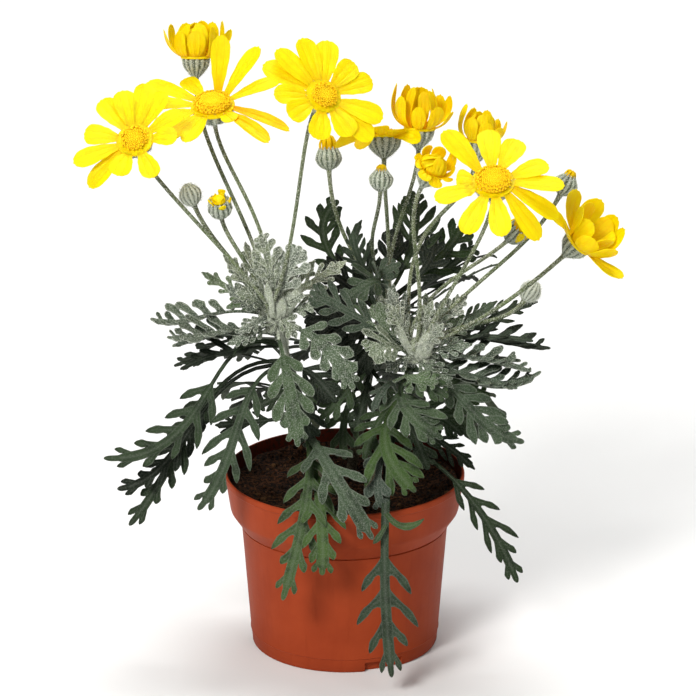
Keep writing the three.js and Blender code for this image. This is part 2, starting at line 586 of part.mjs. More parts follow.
// A leaf cut into blunt lobes: a rib that widens, pairs of lobes leaning forward, and a tip of three.
function leafSolid(stem, leaf, seed) {
  const middle = stemPoint(stem, leaf.height);
  const start = vec(leaf.via).sub(middle).setLength(LEAF_ROOT).add(middle);
  const curve = leaf.past
    ? curveThroughTwo(start, vec(leaf.via), vec(leaf.past), vec(leaf.tip))
    : curveThrough(start, vec(leaf.via), vec(leaf.tip));
  const size = curve.getLength();
  const face = vec(leafFace(leaf));
  const points = [];
  const normals = [];
  const triangles = [];

  function frameAt(share) {
    const along = curve.getTangent(Math.min(share, 1));
    const normal = face.clone().addScaledVector(along, -face.dot(along)).normalize();
    return { along, normal, side: along.clone().cross(normal) };
  }

  // Puts a point a number of millimetres to the side of the curve, along it and off its face.
  function put(share, sideways, forward, off) {
    const { along, normal, side } = frameAt(share);
    points.push(curve.getPoint(share)
      .addScaledVector(side, sideways)
      .addScaledVector(along, forward)
      .addScaledVector(normal, off));
    normals.push(normal);
    return points.length - 1;
  }

  const bare = leaf.bare ?? LEAF_BARE;
  const pitch = (LEAF_LOBED - bare) / leaf.pairs;
  const shares = size > LONG_LEAF ? [0, bare * 0.5] : [0];
  const before = shares.length;
  for (let k = 0; k < leaf.pairs; k++) shares.push(bare + pitch * k, bare + pitch * (k + LOBE_FOOT));
  shares.push(LEAF_LOBED);
  const rails = shares.map((share) => {
    const grown = Math.max(0, (share - bare) / (LEAF_LOBED - bare));
    const wide = LEAF_STALK_HALF + (RIB_HALF - LEAF_STALK_HALF) * Math.sqrt(grown);
    return [put(share, -wide, 0, 0), put(share, wide, 0, 0)];
  });
  for (let i = 1; i < rails.length; i++) {
    const [left, right] = rails[i - 1];
    const [nextLeft, nextRight] = rails[i];
    triangles.push([left, right, nextRight], [left, nextRight, nextLeft]);
  }

  const lean = Math.hypot(1, LOBE_FORWARD);
  const half = Math.min(leaf.lobe ?? LOBE_TIP, pitch * size * 0.5) / 2;
  const fold = leaf.fold ?? 0;
  for (let k = 0; k < leaf.pairs; k++) {
    const foot = before + 2 * k;
    const share = (shares[foot] + shares[foot + 1]) / 2;
    const place = (k + 0.5) / leaf.pairs;
    const swell = 0.55 + 0.9 * Math.sin(Math.PI * (0.12 + 0.78 * place)) - 0.45 * place;
    for (const hand of [-1, 1]) {
      const reach = leaf.reach * swell * (1 + LOBE_UNEVEN * uneven(seed * 31 + k * 7 + hand * 3));
      const lift = (fold + LOBE_LIFT * uneven(seed * 17 + k * 5 + hand)) * reach;
      const ahead = reach * LOBE_FORWARD;
      const low = rails[foot][hand < 0 ? 0 : 1];
      const high = rails[foot + 1][hand < 0 ? 0 : 1];
      if (leaf.reach <= SMALL_REACH) {
        const end = put(share, hand * reach, ahead, lift);
        triangles.push(hand > 0 ? [low, end, high] : [low, high, end]);
        continue;
      }
      const outer = put(share, hand * (reach + (half * LOBE_FORWARD) / lean), ahead - half / lean, lift);
      const inner = put(share, hand * (reach - (half * LOBE_FORWARD) / lean), ahead + half / lean, lift);
      if (hand > 0) triangles.push([low, outer, inner], [low, inner, high]);
      else triangles.push([low, inner, outer], [low, high, inner]);
    }
  }

  const [left, right] = rails[rails.length - 1];
  const end = put(1, 0, 0, 0);
  if (leaf.reach <= SMALL_REACH) {
    triangles.push([left, right, end]);
    return bladeSolid(points, normals, triangles, LEAF_THICK);
  }
  const spread = Math.min(TIP_SPREAD, 0.9 + leaf.reach * 0.36);
  const endLeft = put(0.955, -spread, 0.03 * size, fold * spread + 0.3);
  const endRight = put(0.955, spread, 0.03 * size, fold * spread - 0.3);
  const neckLeft = put(0.967, -NECK_HALF, 0, 0);
  const neckRight = put(0.967, NECK_HALF, 0, 0);
  triangles.push([left, right, neckRight], [left, neckRight, neckLeft]);
  triangles.push([left, neckLeft, endLeft], [right, endRight, neckRight], [neckLeft, neckRight, end]);
  return bladeSolid(points, normals, triangles, LEAF_THICK);
}

// Flower heads

// Where each stalk of a shoot starts: evenly round the crown, in the order in which the stalks lean.
function stalkStarts(stem) {
  const line = STEMS[stem];
  const crown = vec(line[line.length - 1]);
  const lean = (head) => Math.atan2(head.via[1] - crown.y, head.via[0] - crown.x);
  const heads = [...HEADS, ...BUDS].filter((head) => head.stem === stem);
  heads.sort((a, b) => lean(a) - lean(b));
  const starts = new Map();
  heads.forEach((head, i) => {
    const turn = lean(heads[0]) + (2 * Math.PI * i) / heads.length;
    const out = new THREE.Vector3(Math.cos(turn), Math.sin(turn), 0);
    starts.set(head.name, out.multiplyScalar(CROWN_RING).add(crown));
  });
  return starts;
}

// A stalk bends once: from the crown, through its middle point, and in line with the head at its end.
function stalkSolid(start, head, base, toward) {
  const under = base.clone().addScaledVector(toward, -STALK_STRAIGHT * start.distanceTo(base));
  const rise = vec(head.via).multiplyScalar(8).sub(start).sub(base).addScaledVector(under, -3);
  rise.divideScalar(3);
  const radii = [];
  for (let i = 0; i <= STALK_STEPS; i++) radii.push(STALK_RADIUS * (1 + STALK_SWELL * (i / STALK_STEPS)));
  return barSolid(new THREE.CubicBezierCurve3(start, rise, under, base), radii, STALK_SIDES);
}

// The cup of joined bracts under an open bloom; its rim lies just under the hub.
function cupSolid(rim) {
  const profile = [
    [0, -CUP_HEIGHT], [1.5, -CUP_HEIGHT], [rim * 0.58, -CUP_HEIGHT * 0.72], [rim * 0.9, -CUP_HEIGHT * 0.42],
    [rim, -DISC_GAP], [0, -DISC_GAP],
  ];
  return turnedSolid(profile, CUP_SIDES, CUP_RIBS);
}

function hubSolid(radius) {
  return turnedSolid([[0, 0], [radius, 0], [radius, HUB_THICK], [0, HUB_THICK]], DISC_SIDES);
}

function discSolid(radius) {
  const low = HUB_THICK + DISC_GAP;
  const rise = radius * 0.62;
  const profile = [
    [0, low], [radius, low], [radius * 1.04, low + rise * 0.45], [radius * 0.72, low + rise * 0.72],
    [radius * 0.6, low + rise], [0, low + rise * 0.92],
  ];
  return turnedSolid(profile, DISC_SIDES, 0.03);
}

// One ray: a strap that leaves the hub, widens and ends blunt, with a shallow channel along it.
function raySolid(head, middle, toward, ray, seed) {
  const tip = rayTip(head, toward, ray);
  const flat = tip.clone().addScaledVector(toward, -tip.dot(toward)).normalize();
  const root = middle.clone()
    .addScaledVector(flat, head.disc + RAY_ROOT_OUT)
    .addScaledVector(toward, HUB_THICK / 2);
  const level = seed % 2 === 0 ? RAY_STEP : -RAY_STEP;
  const end = middle.clone().add(tip).addScaledVector(toward, level);
  const bowed = root.clone()
    .addScaledVector(flat, 0.5 * end.distanceTo(root))
    .addScaledVector(toward, 0.12 * tip.dot(toward) + RAY_ARCH + level);
  const pull = root.clone().lerp(end, 0.5).addScaledVector(toward, RAY_ARCH).lerp(bowed, head.cupped);
  const curve = new THREE.QuadraticBezierCurve3(root, pull, end);
  const across = toward.clone().cross(flat).normalize();
  const half = (head.width / 2) * (1 + 0.08 * uneven(seed));
  const stations = [[0, RAY_ROOT_HALF], [0.36, 0.8 * half], [0.8, half], [1, 0.6 * half]];
  const points = [];
  const normals = [];
  const triangles = [];
  stations.forEach(([share, wide], i) => {
    const normal = curve.getTangent(share).cross(across).normalize();
    for (const hand of [-1, 1]) {
      points.push(curve.getPoint(share).addScaledVector(across, hand * wide));
      normals.push(normal);
    }
    if (i > 0) triangles.push([2 * i - 2, 2 * i, 2 * i + 1], [2 * i - 2, 2 * i + 1, 2 * i - 1]);
  });
  return bladeSolid(points, normals, triangles, RAY_THICK);
}

// The tip of a ray from the middle of its head. Without a depth it lies in the bloom's plane,
// and no further out than the head's longest ray.
function rayTip(head, toward, ray) {
  if (ray.length === 3) return fromView(ray);
  const [right, up] = ray;
  const seen = fromView([right, up, 0]);
  const depth = (RAY_LIFT - seen.dot(toward)) / VIEW_AWAY.dot(toward);
  const most = Math.sqrt(Math.max(0, head.longest ** 2 - right ** 2 - up ** 2));
  return seen.addScaledVector(VIEW_AWAY, THREE.MathUtils.clamp(depth, -most, most));
}

// A closed or opening bud: a ribbed egg, cut off level where petal tips show.
function budSolid(bud) {
  const r = bud.radius;
  const h = BUD_HEIGHT;
  const mouth = r * (0.25 + 0.6 * bud.spread);
  const top = bud.spread > 0 ? h * BUD_CUT : h;
  const profile = [
    [0, 0], [1.4, 0], [r * 0.72, h * 0.16], [r, h * 0.42], [r * 0.97, h * 0.66], [mouth, top], [0, top],
  ];
  return turnedSolid(profile, CUP_SIDES, BUD_RIBS);
}

function tipSolid(bud) {
  const mouth = bud.radius * (0.2 + 0.55 * bud.spread);
  const low = BUD_HEIGHT * BUD_CUT + DISC_GAP;
  const tall = 1.4 + 3 * bud.spread;
  const profile = [
    [0, low], [mouth, low], [mouth * 1.15, low + tall * 0.5],
    [mouth * 0.62, low + tall], [0, low + tall * 0.6],
  ];
  return turnedSolid(profile, TIP_SIDES, TIP_RIBS);
}

// Assembly

addNode('pot', potSolid(), 'pot');
addNode('soil', soilSolid(), 'soil');

const green = { left: [], right: [], back: [] };
const starts = new Map(Object.keys(STEMS).flatMap((stem) => [...stalkStarts(stem)]));
for (const [stem, line] of Object.entries(STEMS)) {
  const radii = [STEM_RADIUS, STEM_RADIUS, STEM_RADIUS, STEM_RADIUS, STEM_RADIUS, STEM_TOP_RADIUS];
  green[stem].push(barSolid(new THREE.CatmullRomCurve3(line.map(vec)), radii, STEM_SIDES));
  const crown = vec(line[line.length - 1]);
  const knob = turnedSolid([
    [0, -CROWN_HALF], [CROWN_NECK, -CROWN_NECK], [CROWN_RADIUS, 0], [CROWN_NECK, CROWN_NECK], [0, CROWN_HALF],
  ], CROWN_SIDES);
  green[stem].push(knob.translate([crown.x, crown.y, crown.z]));
  LEAVES[stem].forEach((leaf, i) => green[stem].push(leafSolid(stem, leaf, i + 1)));
}

HEADS.forEach((head, index) => {
  const middle = vec(head.at);
  const toward = fromView(head.toward).normalize();
  const hub = head.disc + HUB_REACH;
  const base = middle.clone().addScaledVector(toward, STALK_SUNK - CUP_HEIGHT);
  green[head.stem].push(stalkSolid(starts.get(head.name), head, base, toward));
  green[head.stem].push(placed(cupSolid(hub - CUP_INSET), middle, toward));
  const rays = head.rays.map((ray, i) => raySolid(head, middle, toward, ray, index * 20 + i));
  addNode('rays_' + head.name, fused([placed(hubSolid(hub), middle, toward), ...rays]), 'petal');
  addNode('disc_' + head.name, placed(discSolid(head.disc), middle, toward), 'disc');
});

for (const bud of BUDS) {
  const base = vec(bud.at);
  const toward = fromView(bud.toward).normalize();
  const stalkEnd = base.clone().addScaledVector(toward, STALK_SUNK);
  green[bud.stem].push(stalkSolid(starts.get(bud.name), bud, stalkEnd, toward));
  green[bud.stem].push(placed(budSolid(bud), base, toward));
  if (bud.spread > 0) addNode('tip_' + bud.name, placed(tipSolid(bud), base, toward), 'tip');
}

for (const [stem, solids] of Object.entries(green)) addNode('shoot_' + stem, fused(solids), 'leaf');

export default group;
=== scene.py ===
"""A gray-leaved euryops in a round plastic pot: leaves cut into lobes, woolly crowns, yellow blooms,
buds, soil and pot, on a pale floor. Tables and shapes are in millimetres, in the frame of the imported
model: +Z up, the pot's base at z = 0 and its middle at x = y = 0. Meshes are made in metres."""

import math
import random

import bpy
from mathutils import Matrix, Vector, noise


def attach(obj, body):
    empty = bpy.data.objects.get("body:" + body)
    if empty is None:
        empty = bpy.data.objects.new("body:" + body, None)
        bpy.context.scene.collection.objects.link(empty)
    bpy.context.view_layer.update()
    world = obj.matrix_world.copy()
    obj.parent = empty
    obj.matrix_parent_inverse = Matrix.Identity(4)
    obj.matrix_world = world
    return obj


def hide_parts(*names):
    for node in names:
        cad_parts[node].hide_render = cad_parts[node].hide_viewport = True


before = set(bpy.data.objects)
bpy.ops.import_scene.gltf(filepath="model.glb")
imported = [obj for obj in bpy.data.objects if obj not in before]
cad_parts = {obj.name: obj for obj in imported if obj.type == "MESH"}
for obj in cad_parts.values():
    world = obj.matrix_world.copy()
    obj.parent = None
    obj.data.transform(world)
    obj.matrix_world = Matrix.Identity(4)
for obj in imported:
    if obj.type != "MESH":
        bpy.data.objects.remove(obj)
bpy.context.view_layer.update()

MM = 0.001  # metres
SHARP_ANGLE = 50  # degrees; edges that turn more than this stay crisp
UP = Vector((0, 0, 1))

# View: the camera stands in front of the plant and a little above it.
CAMERA_ELEVATION = 20.4  # degrees
CAMERA_DISTANCE = 3.0  # metres from the point it looks at
CAMERA_TARGET = (0.0017, 0.0, 0.1555)  # metres
CAMERA_LENS = 312.5  # millimetres
CAMERA_SENSOR = 36
FLOOR_SIZE = 14.0  # metres

# Lights: name, place and width in metres, power in watts, colour. All look at one point of the plant.
LIGHTS = [
    ("key", (-2.0, -3.4, 3.4), 1.6, 240, (1.0, 0.99, 0.97)),
    ("fill", (2.4, -3.2, 3.2), 3.0, 34, (1, 1, 1)),
    ("top", (0.2, 1.2, 4.2), 2.2, 160, (1, 1, 1)),
]
LIT_POINT = (0, 0, 0.16)  # metres
WORLD_LIGHT = 0.13

# Pot
RIM_RADIUS = 60
RIM_HEIGHT = 90
COLLAR_RADIUS = 57
COLLAR_FOOT = 71
SHOULDER_RADIUS = 51.6
SHOULDER_FOOT = 63.5
FOOT_RADIUS = 46.6
BASE_THICK = 1.8
WALL = 1.8
INNER_RISE = 0.6
POT_SIDES = 176
NOTCH_ANGLES = [-65, 55, 175]  # degrees round from +X
NOTCH_HEIGHT = 5
NOTCH_HALF_ANGLE = 12.4  # degrees
NOTCH_DEPTH = 2
CREASE = 0.6  # depth of the crease under the collar
CRISP = 0.15  # width of a crisp edge, in millimetres or degrees
POT_WOBBLE = 0.0012  # how far the pot is out of round at its rim, as a share

# Soil
SOIL_TOP = 82
SOIL_EDGE_GAP = 0.5
SOIL_SIDES = 150
SOIL_RINGS = 62
SOIL_WALL_RISE = 2.2  # how far the soil climbs at the wall
SOIL_FOOT = 2.2  # height of the underside of the soil
CRUMBS = 620
PALE_CRUMB_SHARE = 0.1
CHIPS = 90
FIBRES = 150

# Shoots and leaves
STEM_RADIUS = 2.7
STEM_TOP_RADIUS = 2.1
CROWN_RING = 2.6
LEAF_ROOT = 1.3
LEAF_BARE = 0.3
LEAF_LOBED = 0.92
LEAF_STALK_HALF = 0.9
RIB_HALF = 2.8
RIB_LEAST = 0.6  # half width of the rib of the smallest leaves
RIB_SHARE = 0.26  # what each millimetre of reach adds to it
LOBE_FOOT = 0.6
LOBE_TIP = 4.1
SMALL_REACH = 5
LOBE_FORWARD = 1.05
LOBE_UNEVEN = 0.14
LOBE_LIFT = 0.16
LEAF_MIDDLE_HALF = 0.36  # half thickness along the midrib
LEAF_EDGE_HALF = 0.2  # half thickness at the edge
TIP_HALF = 1.5  # half width of the rib where the three lobes of the tip part
COLUMNS = (-1, -0.5, 0, 0.5, 1)  # places across a rib or a lobe
GOLDEN_TURN = 2.39996  # radians between one floret or woolly finger and the next
HAIRS = {"left": 19000, "right": 17000, "back": 6000}
FACE_FRONT = [0, -0.7, 0.7]
FACE_BACK = [0, 0.55, 0.8]
FACE_UPRIGHT = [0, -1, 0.2]
FACE_SKY = [0, -0.15, 1]
FACE_BEHIND = 24

LOBE_STATIONS = (0.12, 0.26, 0.4, 0.54, 0.66, 0.76, 0.85, 0.92, 0.97, 1.0)
BLUNT_LOBE = [(0, 0.74), (0.35, 0.78), (0.78, 1.12), (1, 1.14)]  # half width along a lobe, as a share
POINTED_LOBE = [(0, 0.72), (0.3, 0.76), (0.62, 1.05), (0.86, 0.66), (1, 0.14)]

# Blooms
STALK_RADIUS = 1.15
STALK_THINNER = 0.78  # the stalks that are seen, as a share of the solid ones
STALK_SIDES = 12
STALK_STRAIGHT = 0.3
STALK_SUNK = 0.5
HUB_THICK = 1.2
HUB_REACH = 2.4
RAY_ROOT_OUT = 0.9
RAY_ROOT_HALF = 1.5
RAY_ARCH = 1.2
RAY_LIFT = 1.5
RAY_STEP = 0.7
RAY_MIDDLE_HALF = 0.3
RAY_EDGE_HALF = 0.16
CUP_HEIGHT = 9.5
CUP_INSET = 1
CUP_RIB_COUNT = 13
DISC_GAP = 0.3
BUD_HEIGHT = 11
BUD_CUT = 0.93
BUD_RIBS = 13
DISC_RISE = 0.4  # height of a disc's dome, as a share of its radius
OPEN_FLORETS = 0.76  # florets past this share of the radius are open
FLORETS = 330  # on the largest disc
LARGEST_DISC = 8.6
# A turned ray's orange back is partly its own colour and partly painted shade.
TURNED_BACK = 3.4  # how strongly a ray that is turned over shows the colour of its back
FURROW_AT = 0.36  # share of a ray's half width at which its furrows run

STEMS = {
    "left": [[-10, -3, 58], [-12, -4, 82], [-18, -6, 110], [-26, -8, 145], [-37, -12, 179]],
    "right": [[11, -5, 58], [12, -6, 82], [18, -7, 105], [27, -9, 128], [35, -16, 161]],
    "back": [[3, 12, 58], [3, 13, 82], [8, 16, 110], [14, 19, 145], [20, 22, 176]],
}

# Leaves: the height at which each leaves its stem, a point halfway along (or two, at a third and at
# two thirds), its tip, how many pairs of lobes it has and how far they reach sideways. Where they are
# set, bare: the share of its length before the first lobe. lobe, rib, stalk: width of a lobe, and half
# widths of the rib and of the leaf's stalk. forward: how far the lobes lean toward the tip, and fold:
# how far they rise off the leaf, as shares of their reach. face: where the leaf's face looks.
# wool: how woolly and pale, and tone: how green it is, 0 to 1; low values darken a leaf, partly for age
# and partly as painted shade deep in the plant. up: it stands upright.
LEAVES = {
    "left": [
        dict(name="side_1", height=177, via=[-61, -8, 177], past=[-78, -6, 172], tip=[-95, -4, 172],
             pairs=5, reach=8, lobe=6, forward=0.8, face=FACE_SKY, fold=0.55, wool=0.6, tone=0.2),
        dict(name="side_2", height=171, via=[-57, -20, 172], past=[-72, -26, 171], tip=[-86, -30, 172],
             pairs=4, reach=8, lobe=6, forward=0.8, face=FACE_SKY, fold=0.5, rib=3, wool=0.64, tone=0.2),
        dict(name="side_3", height=160, via=[-56, 2, 159], past=[-70, 8, 151], tip=[-84, 12, 142],
             pairs=4, reach=6.5, face=FACE_SKY, fold=0.5, wool=0.12, tone=0.15),
        dict(name="side_4", height=178, via=[-55, 4, 184], tip=[-70, 8, 192], pairs=3, reach=4, wool=0.6),
        dict(name="arch_long", height=162, via=[-59, -24, 156], past=[-79, -30, 126], tip=[-117, -34, 110],
             pairs=4, reach=9, bare=0.45, fold=0.3, wool=0.25, tone=0.3),
        dict(name="arch_low", height=152, via=[-61, -8, 139], past=[-83, -16, 107], tip=[-106, -22, 71],
             pairs=5, reach=6.5, bare=0.42, fold=0.3, wool=0.15, tone=0.3),
        dict(name="front_broad", height=150, via=[-46, -36, 146], past=[-56, -46, 120], tip=[-71, -54, 92],
             pairs=5, reach=9, lobe=4, fold=0.22, wool=0.3, tone=0.25),
        dict(name="front_round", height=170, via=[-28, -34, 153], tip=[-23, -48, 123],
             pairs=4, reach=7.5, lobe=5.5, rib=4, wool=0.47, tone=0.38),
        dict(name="front_rib", height=172, via=[-13, -34, 172], tip=[4, -46, 152],
             pairs=4, reach=7, lobe=5, rib=3.6, wool=0.55, tone=0.3),
        dict(name="thin_low", height=122, via=[-47, 5, 114], tip=[-64, 14, 109], pairs=3, reach=5, wool=0.1),
        dict(name="dark_low", height=148, via=[-58, 18, 146], tip=[-77, 32, 135],
             pairs=4, reach=7, wool=0.05, tone=0.1),
        dict(name="hang_left", height=118, via=[-18, -58, 103], tip=[-30, -70, 51],
             pairs=5, reach=10, stalk=1.5, wool=0.3, tone=0.7),
        dict(name="hang_mid", height=116, via=[-12, -62, 96], tip=[-11, -70, 64],
             pairs=4, reach=8, rib=3.2, stalk=1.4, wool=0.28, tone=1),
        dict(name="hang_gray", height=114, via=[-8, -57, 115], tip=[13, -75, 85],
             pairs=3, reach=10, lobe=5, rib=3.8, stalk=2, wool=0.42, tone=0.2),
        dict(name="rear_left", height=132, via=[-58, 34, 122], tip=[-86, 52, 84], pairs=3, reach=9, wool=0.2),
        dict(name="young_left", height=178, via=[-48, -14, 196], tip=[-59, -12, 208], pairs=3, reach=4),
        dict(name="young_back", height=178, via=[-44, 4, 193], tip=[-49, 12, 206], pairs=3, reach=4),
        dict(name="young_top", height=178, via=[-37, -20, 205], tip=[-41, -22, 222],
             pairs=3, reach=5.5, lobe=4),
        dict(name="young_right", height=178, via=[-18, -4, 190], tip=[0, 2, 200], pairs=4, reach=5),
        dict(name="young_broad", height=178, via=[-28, -20, 201], tip=[-22, -22, 216],
             pairs=3, reach=6.5, lobe=4),
    ],
    "right": [
        dict(name="hang_long", height=118, via=[20, -66, 94], past=[20, -74, 55], tip=[23, -76, 13],
             pairs=3, reach=11, bare=0.52, stalk=2, fold=0.18, wool=0.3, tone=0.15),
        dict(name="front_green", height=134, via=[20, -46, 123], tip=[34, -56, 102],
             pairs=3, reach=11, lobe=5, rib=3.8, stalk=1.6, wool=0.25, tone=1),
        dict(name="centre_broad", height=145, via=[29, -44, 142], tip=[47, -52, 128],
             pairs=4, reach=9, lobe=5, rib=3.6, stalk=1.4, fold=0.15, wool=0.38, tone=0.35),
        dict(name="middle_low", height=156, via=[22, -30, 168], tip=[13, -38, 166],
             pairs=3, reach=8, wool=0.7),
        dict(name="middle_high", height=160, via=[3, -22, 182], tip=[-16, -26, 194],
             pairs=4, reach=8, lobe=4, wool=0.42, tone=0.1),
        dict(name="rim_right", height=112, via=[48, -30, 103], past=[69, -40, 81], tip=[85, -45, 50],
             pairs=4, reach=6.5, bare=0.42, lobe=3.2, forward=1.5, fold=0.3, wool=0.12, tone=0.4),
        dict(name="side_broad", height=150, via=[53, -30, 145], past=[67, -38, 132], tip=[87, -42, 122],
             pairs=5, reach=7.5, lobe=5, rib=3.2, fold=0.15, wool=0.38, tone=0.2),
        dict(name="side_mid", height=154, via=[50, -14, 149], past=[71, -18, 143], tip=[96, -18, 149],
             pairs=5, reach=8, lobe=6, forward=0.9, face=FACE_SKY, fold=0.6, rib=4, wool=0.55),
        dict(name="side_high", height=158, via=[57, -4, 162], past=[78, 0, 159], tip=[101, 4, 154],
             pairs=4, reach=9, lobe=5, forward=1, face=FACE_SKY, fold=0.6, wool=0.1, tone=0.1),
        dict(name="side_top", height=160, via=[57, 6, 160], past=[76, 12, 168], tip=[95, 18, 173],
             pairs=4, reach=5, wool=0.15, tone=0.2),
        dict(name="low_side", height=118, via=[50, 4, 119], tip=[66, 8, 106], pairs=4, reach=7, wool=0.1),
        dict(name="rear_right", height=130, via=[56, 32, 126], tip=[79, 52, 98], pairs=3, reach=7, wool=0.2),
        dict(name="centre_down", height=132, via=[17, -30, 128], tip=[10, -38, 112],
             pairs=3, reach=7, wool=0.2, tone=0.6),
        dict(name="centre_side", height=150, via=[32, -36, 153], tip=[45, -44, 154],
             pairs=3, reach=6, wool=0.5),
        dict(name="young_right", height=160, via=[51, -6, 174], tip=[60, 2, 183], pairs=3, reach=4),
        dict(name="young_left", height=160, via=[27, -17, 178], tip=[22, -19, 193], pairs=3, reach=4),
        dict(name="young_front", height=160, via=[42, -27, 170], tip=[48, -33, 180], pairs=3, reach=4),
        dict(name="young_inner", height=160, via=[28, -20, 175], tip=[22, -22, 186], pairs=3, reach=4),
        dict(name="young_mid", height=160, via=[39, -18, 174], tip=[43, -20, 187], pairs=3, reach=4),
    ],
    "back": [
        dict(name="up_left", height=168, via=[-9, 34, 197], tip=[-4, 38, 219],
             pairs=4, reach=7, up=True, wool=0.05, tone=0.6),
        dict(name="up_tall", height=172, via=[33, 34, 196], tip=[34, 40, 223],
             pairs=5, reach=9, up=True, wool=0.25, tone=0.4),
        dict(name="up_short", height=168, via=[5, 27, 192], tip=[8, 31, 211],
             pairs=3, reach=5, up=True, wool=0.3),
        dict(name="up_right", height=168, via=[48, 42, 189], tip=[58, 51, 201],
             pairs=3, reach=8, up=True, wool=0.05, tone=0.8),
        dict(name="up_far", height=162, via=[50, 48, 179], tip=[65, 63, 186],
             pairs=3, reach=6, up=True, wool=0.05),
        dict(name="up_cross", height=166, via=[14, 13, 184], tip=[27, 10, 196], pairs=3, reach=6, wool=0.4),
        dict(name="dark_mid", height=158, via=[-2, 14, 168], tip=[-17, 8, 160],
             pairs=3, reach=7, wool=0, tone=0),
        dict(name="centre_dark", height=140, via=[1, 0, 122], tip=[0, -9, 101], pairs=3, reach=6),
        dict(name="fill_left", height=148, via=[-14, 16, 123], tip=[-29, 14, 112], pairs=3, reach=6),
        dict(name="thin_right", height=150, via=[55, 52, 170], tip=[78, 72, 174], pairs=3, reach=4),
        dict(name="rear_1", height=140, via=[-32, 50, 142], tip=[-54, 78, 120], pairs=3, reach=9),
        dict(name="rear_2", height=125, via=[-12, 62, 112], tip=[-22, 84, 68], pairs=4, reach=9),
        dict(name="rear_3", height=130, via=[20, 66, 122], tip=[22, 92, 84], pairs=3, reach=10),
        dict(name="rear_4", height=122, via=[46, 54, 112], tip=[68, 74, 80], pairs=3, reach=9),
        dict(name="rear_5", height=155, via=[2, 58, 160], tip=[-6, 88, 148], pairs=3, reach=8),
        dict(name="rear_6", height=150, via=[42, 60, 150], tip=[60, 84, 134], pairs=3, reach=8),
    ],
}

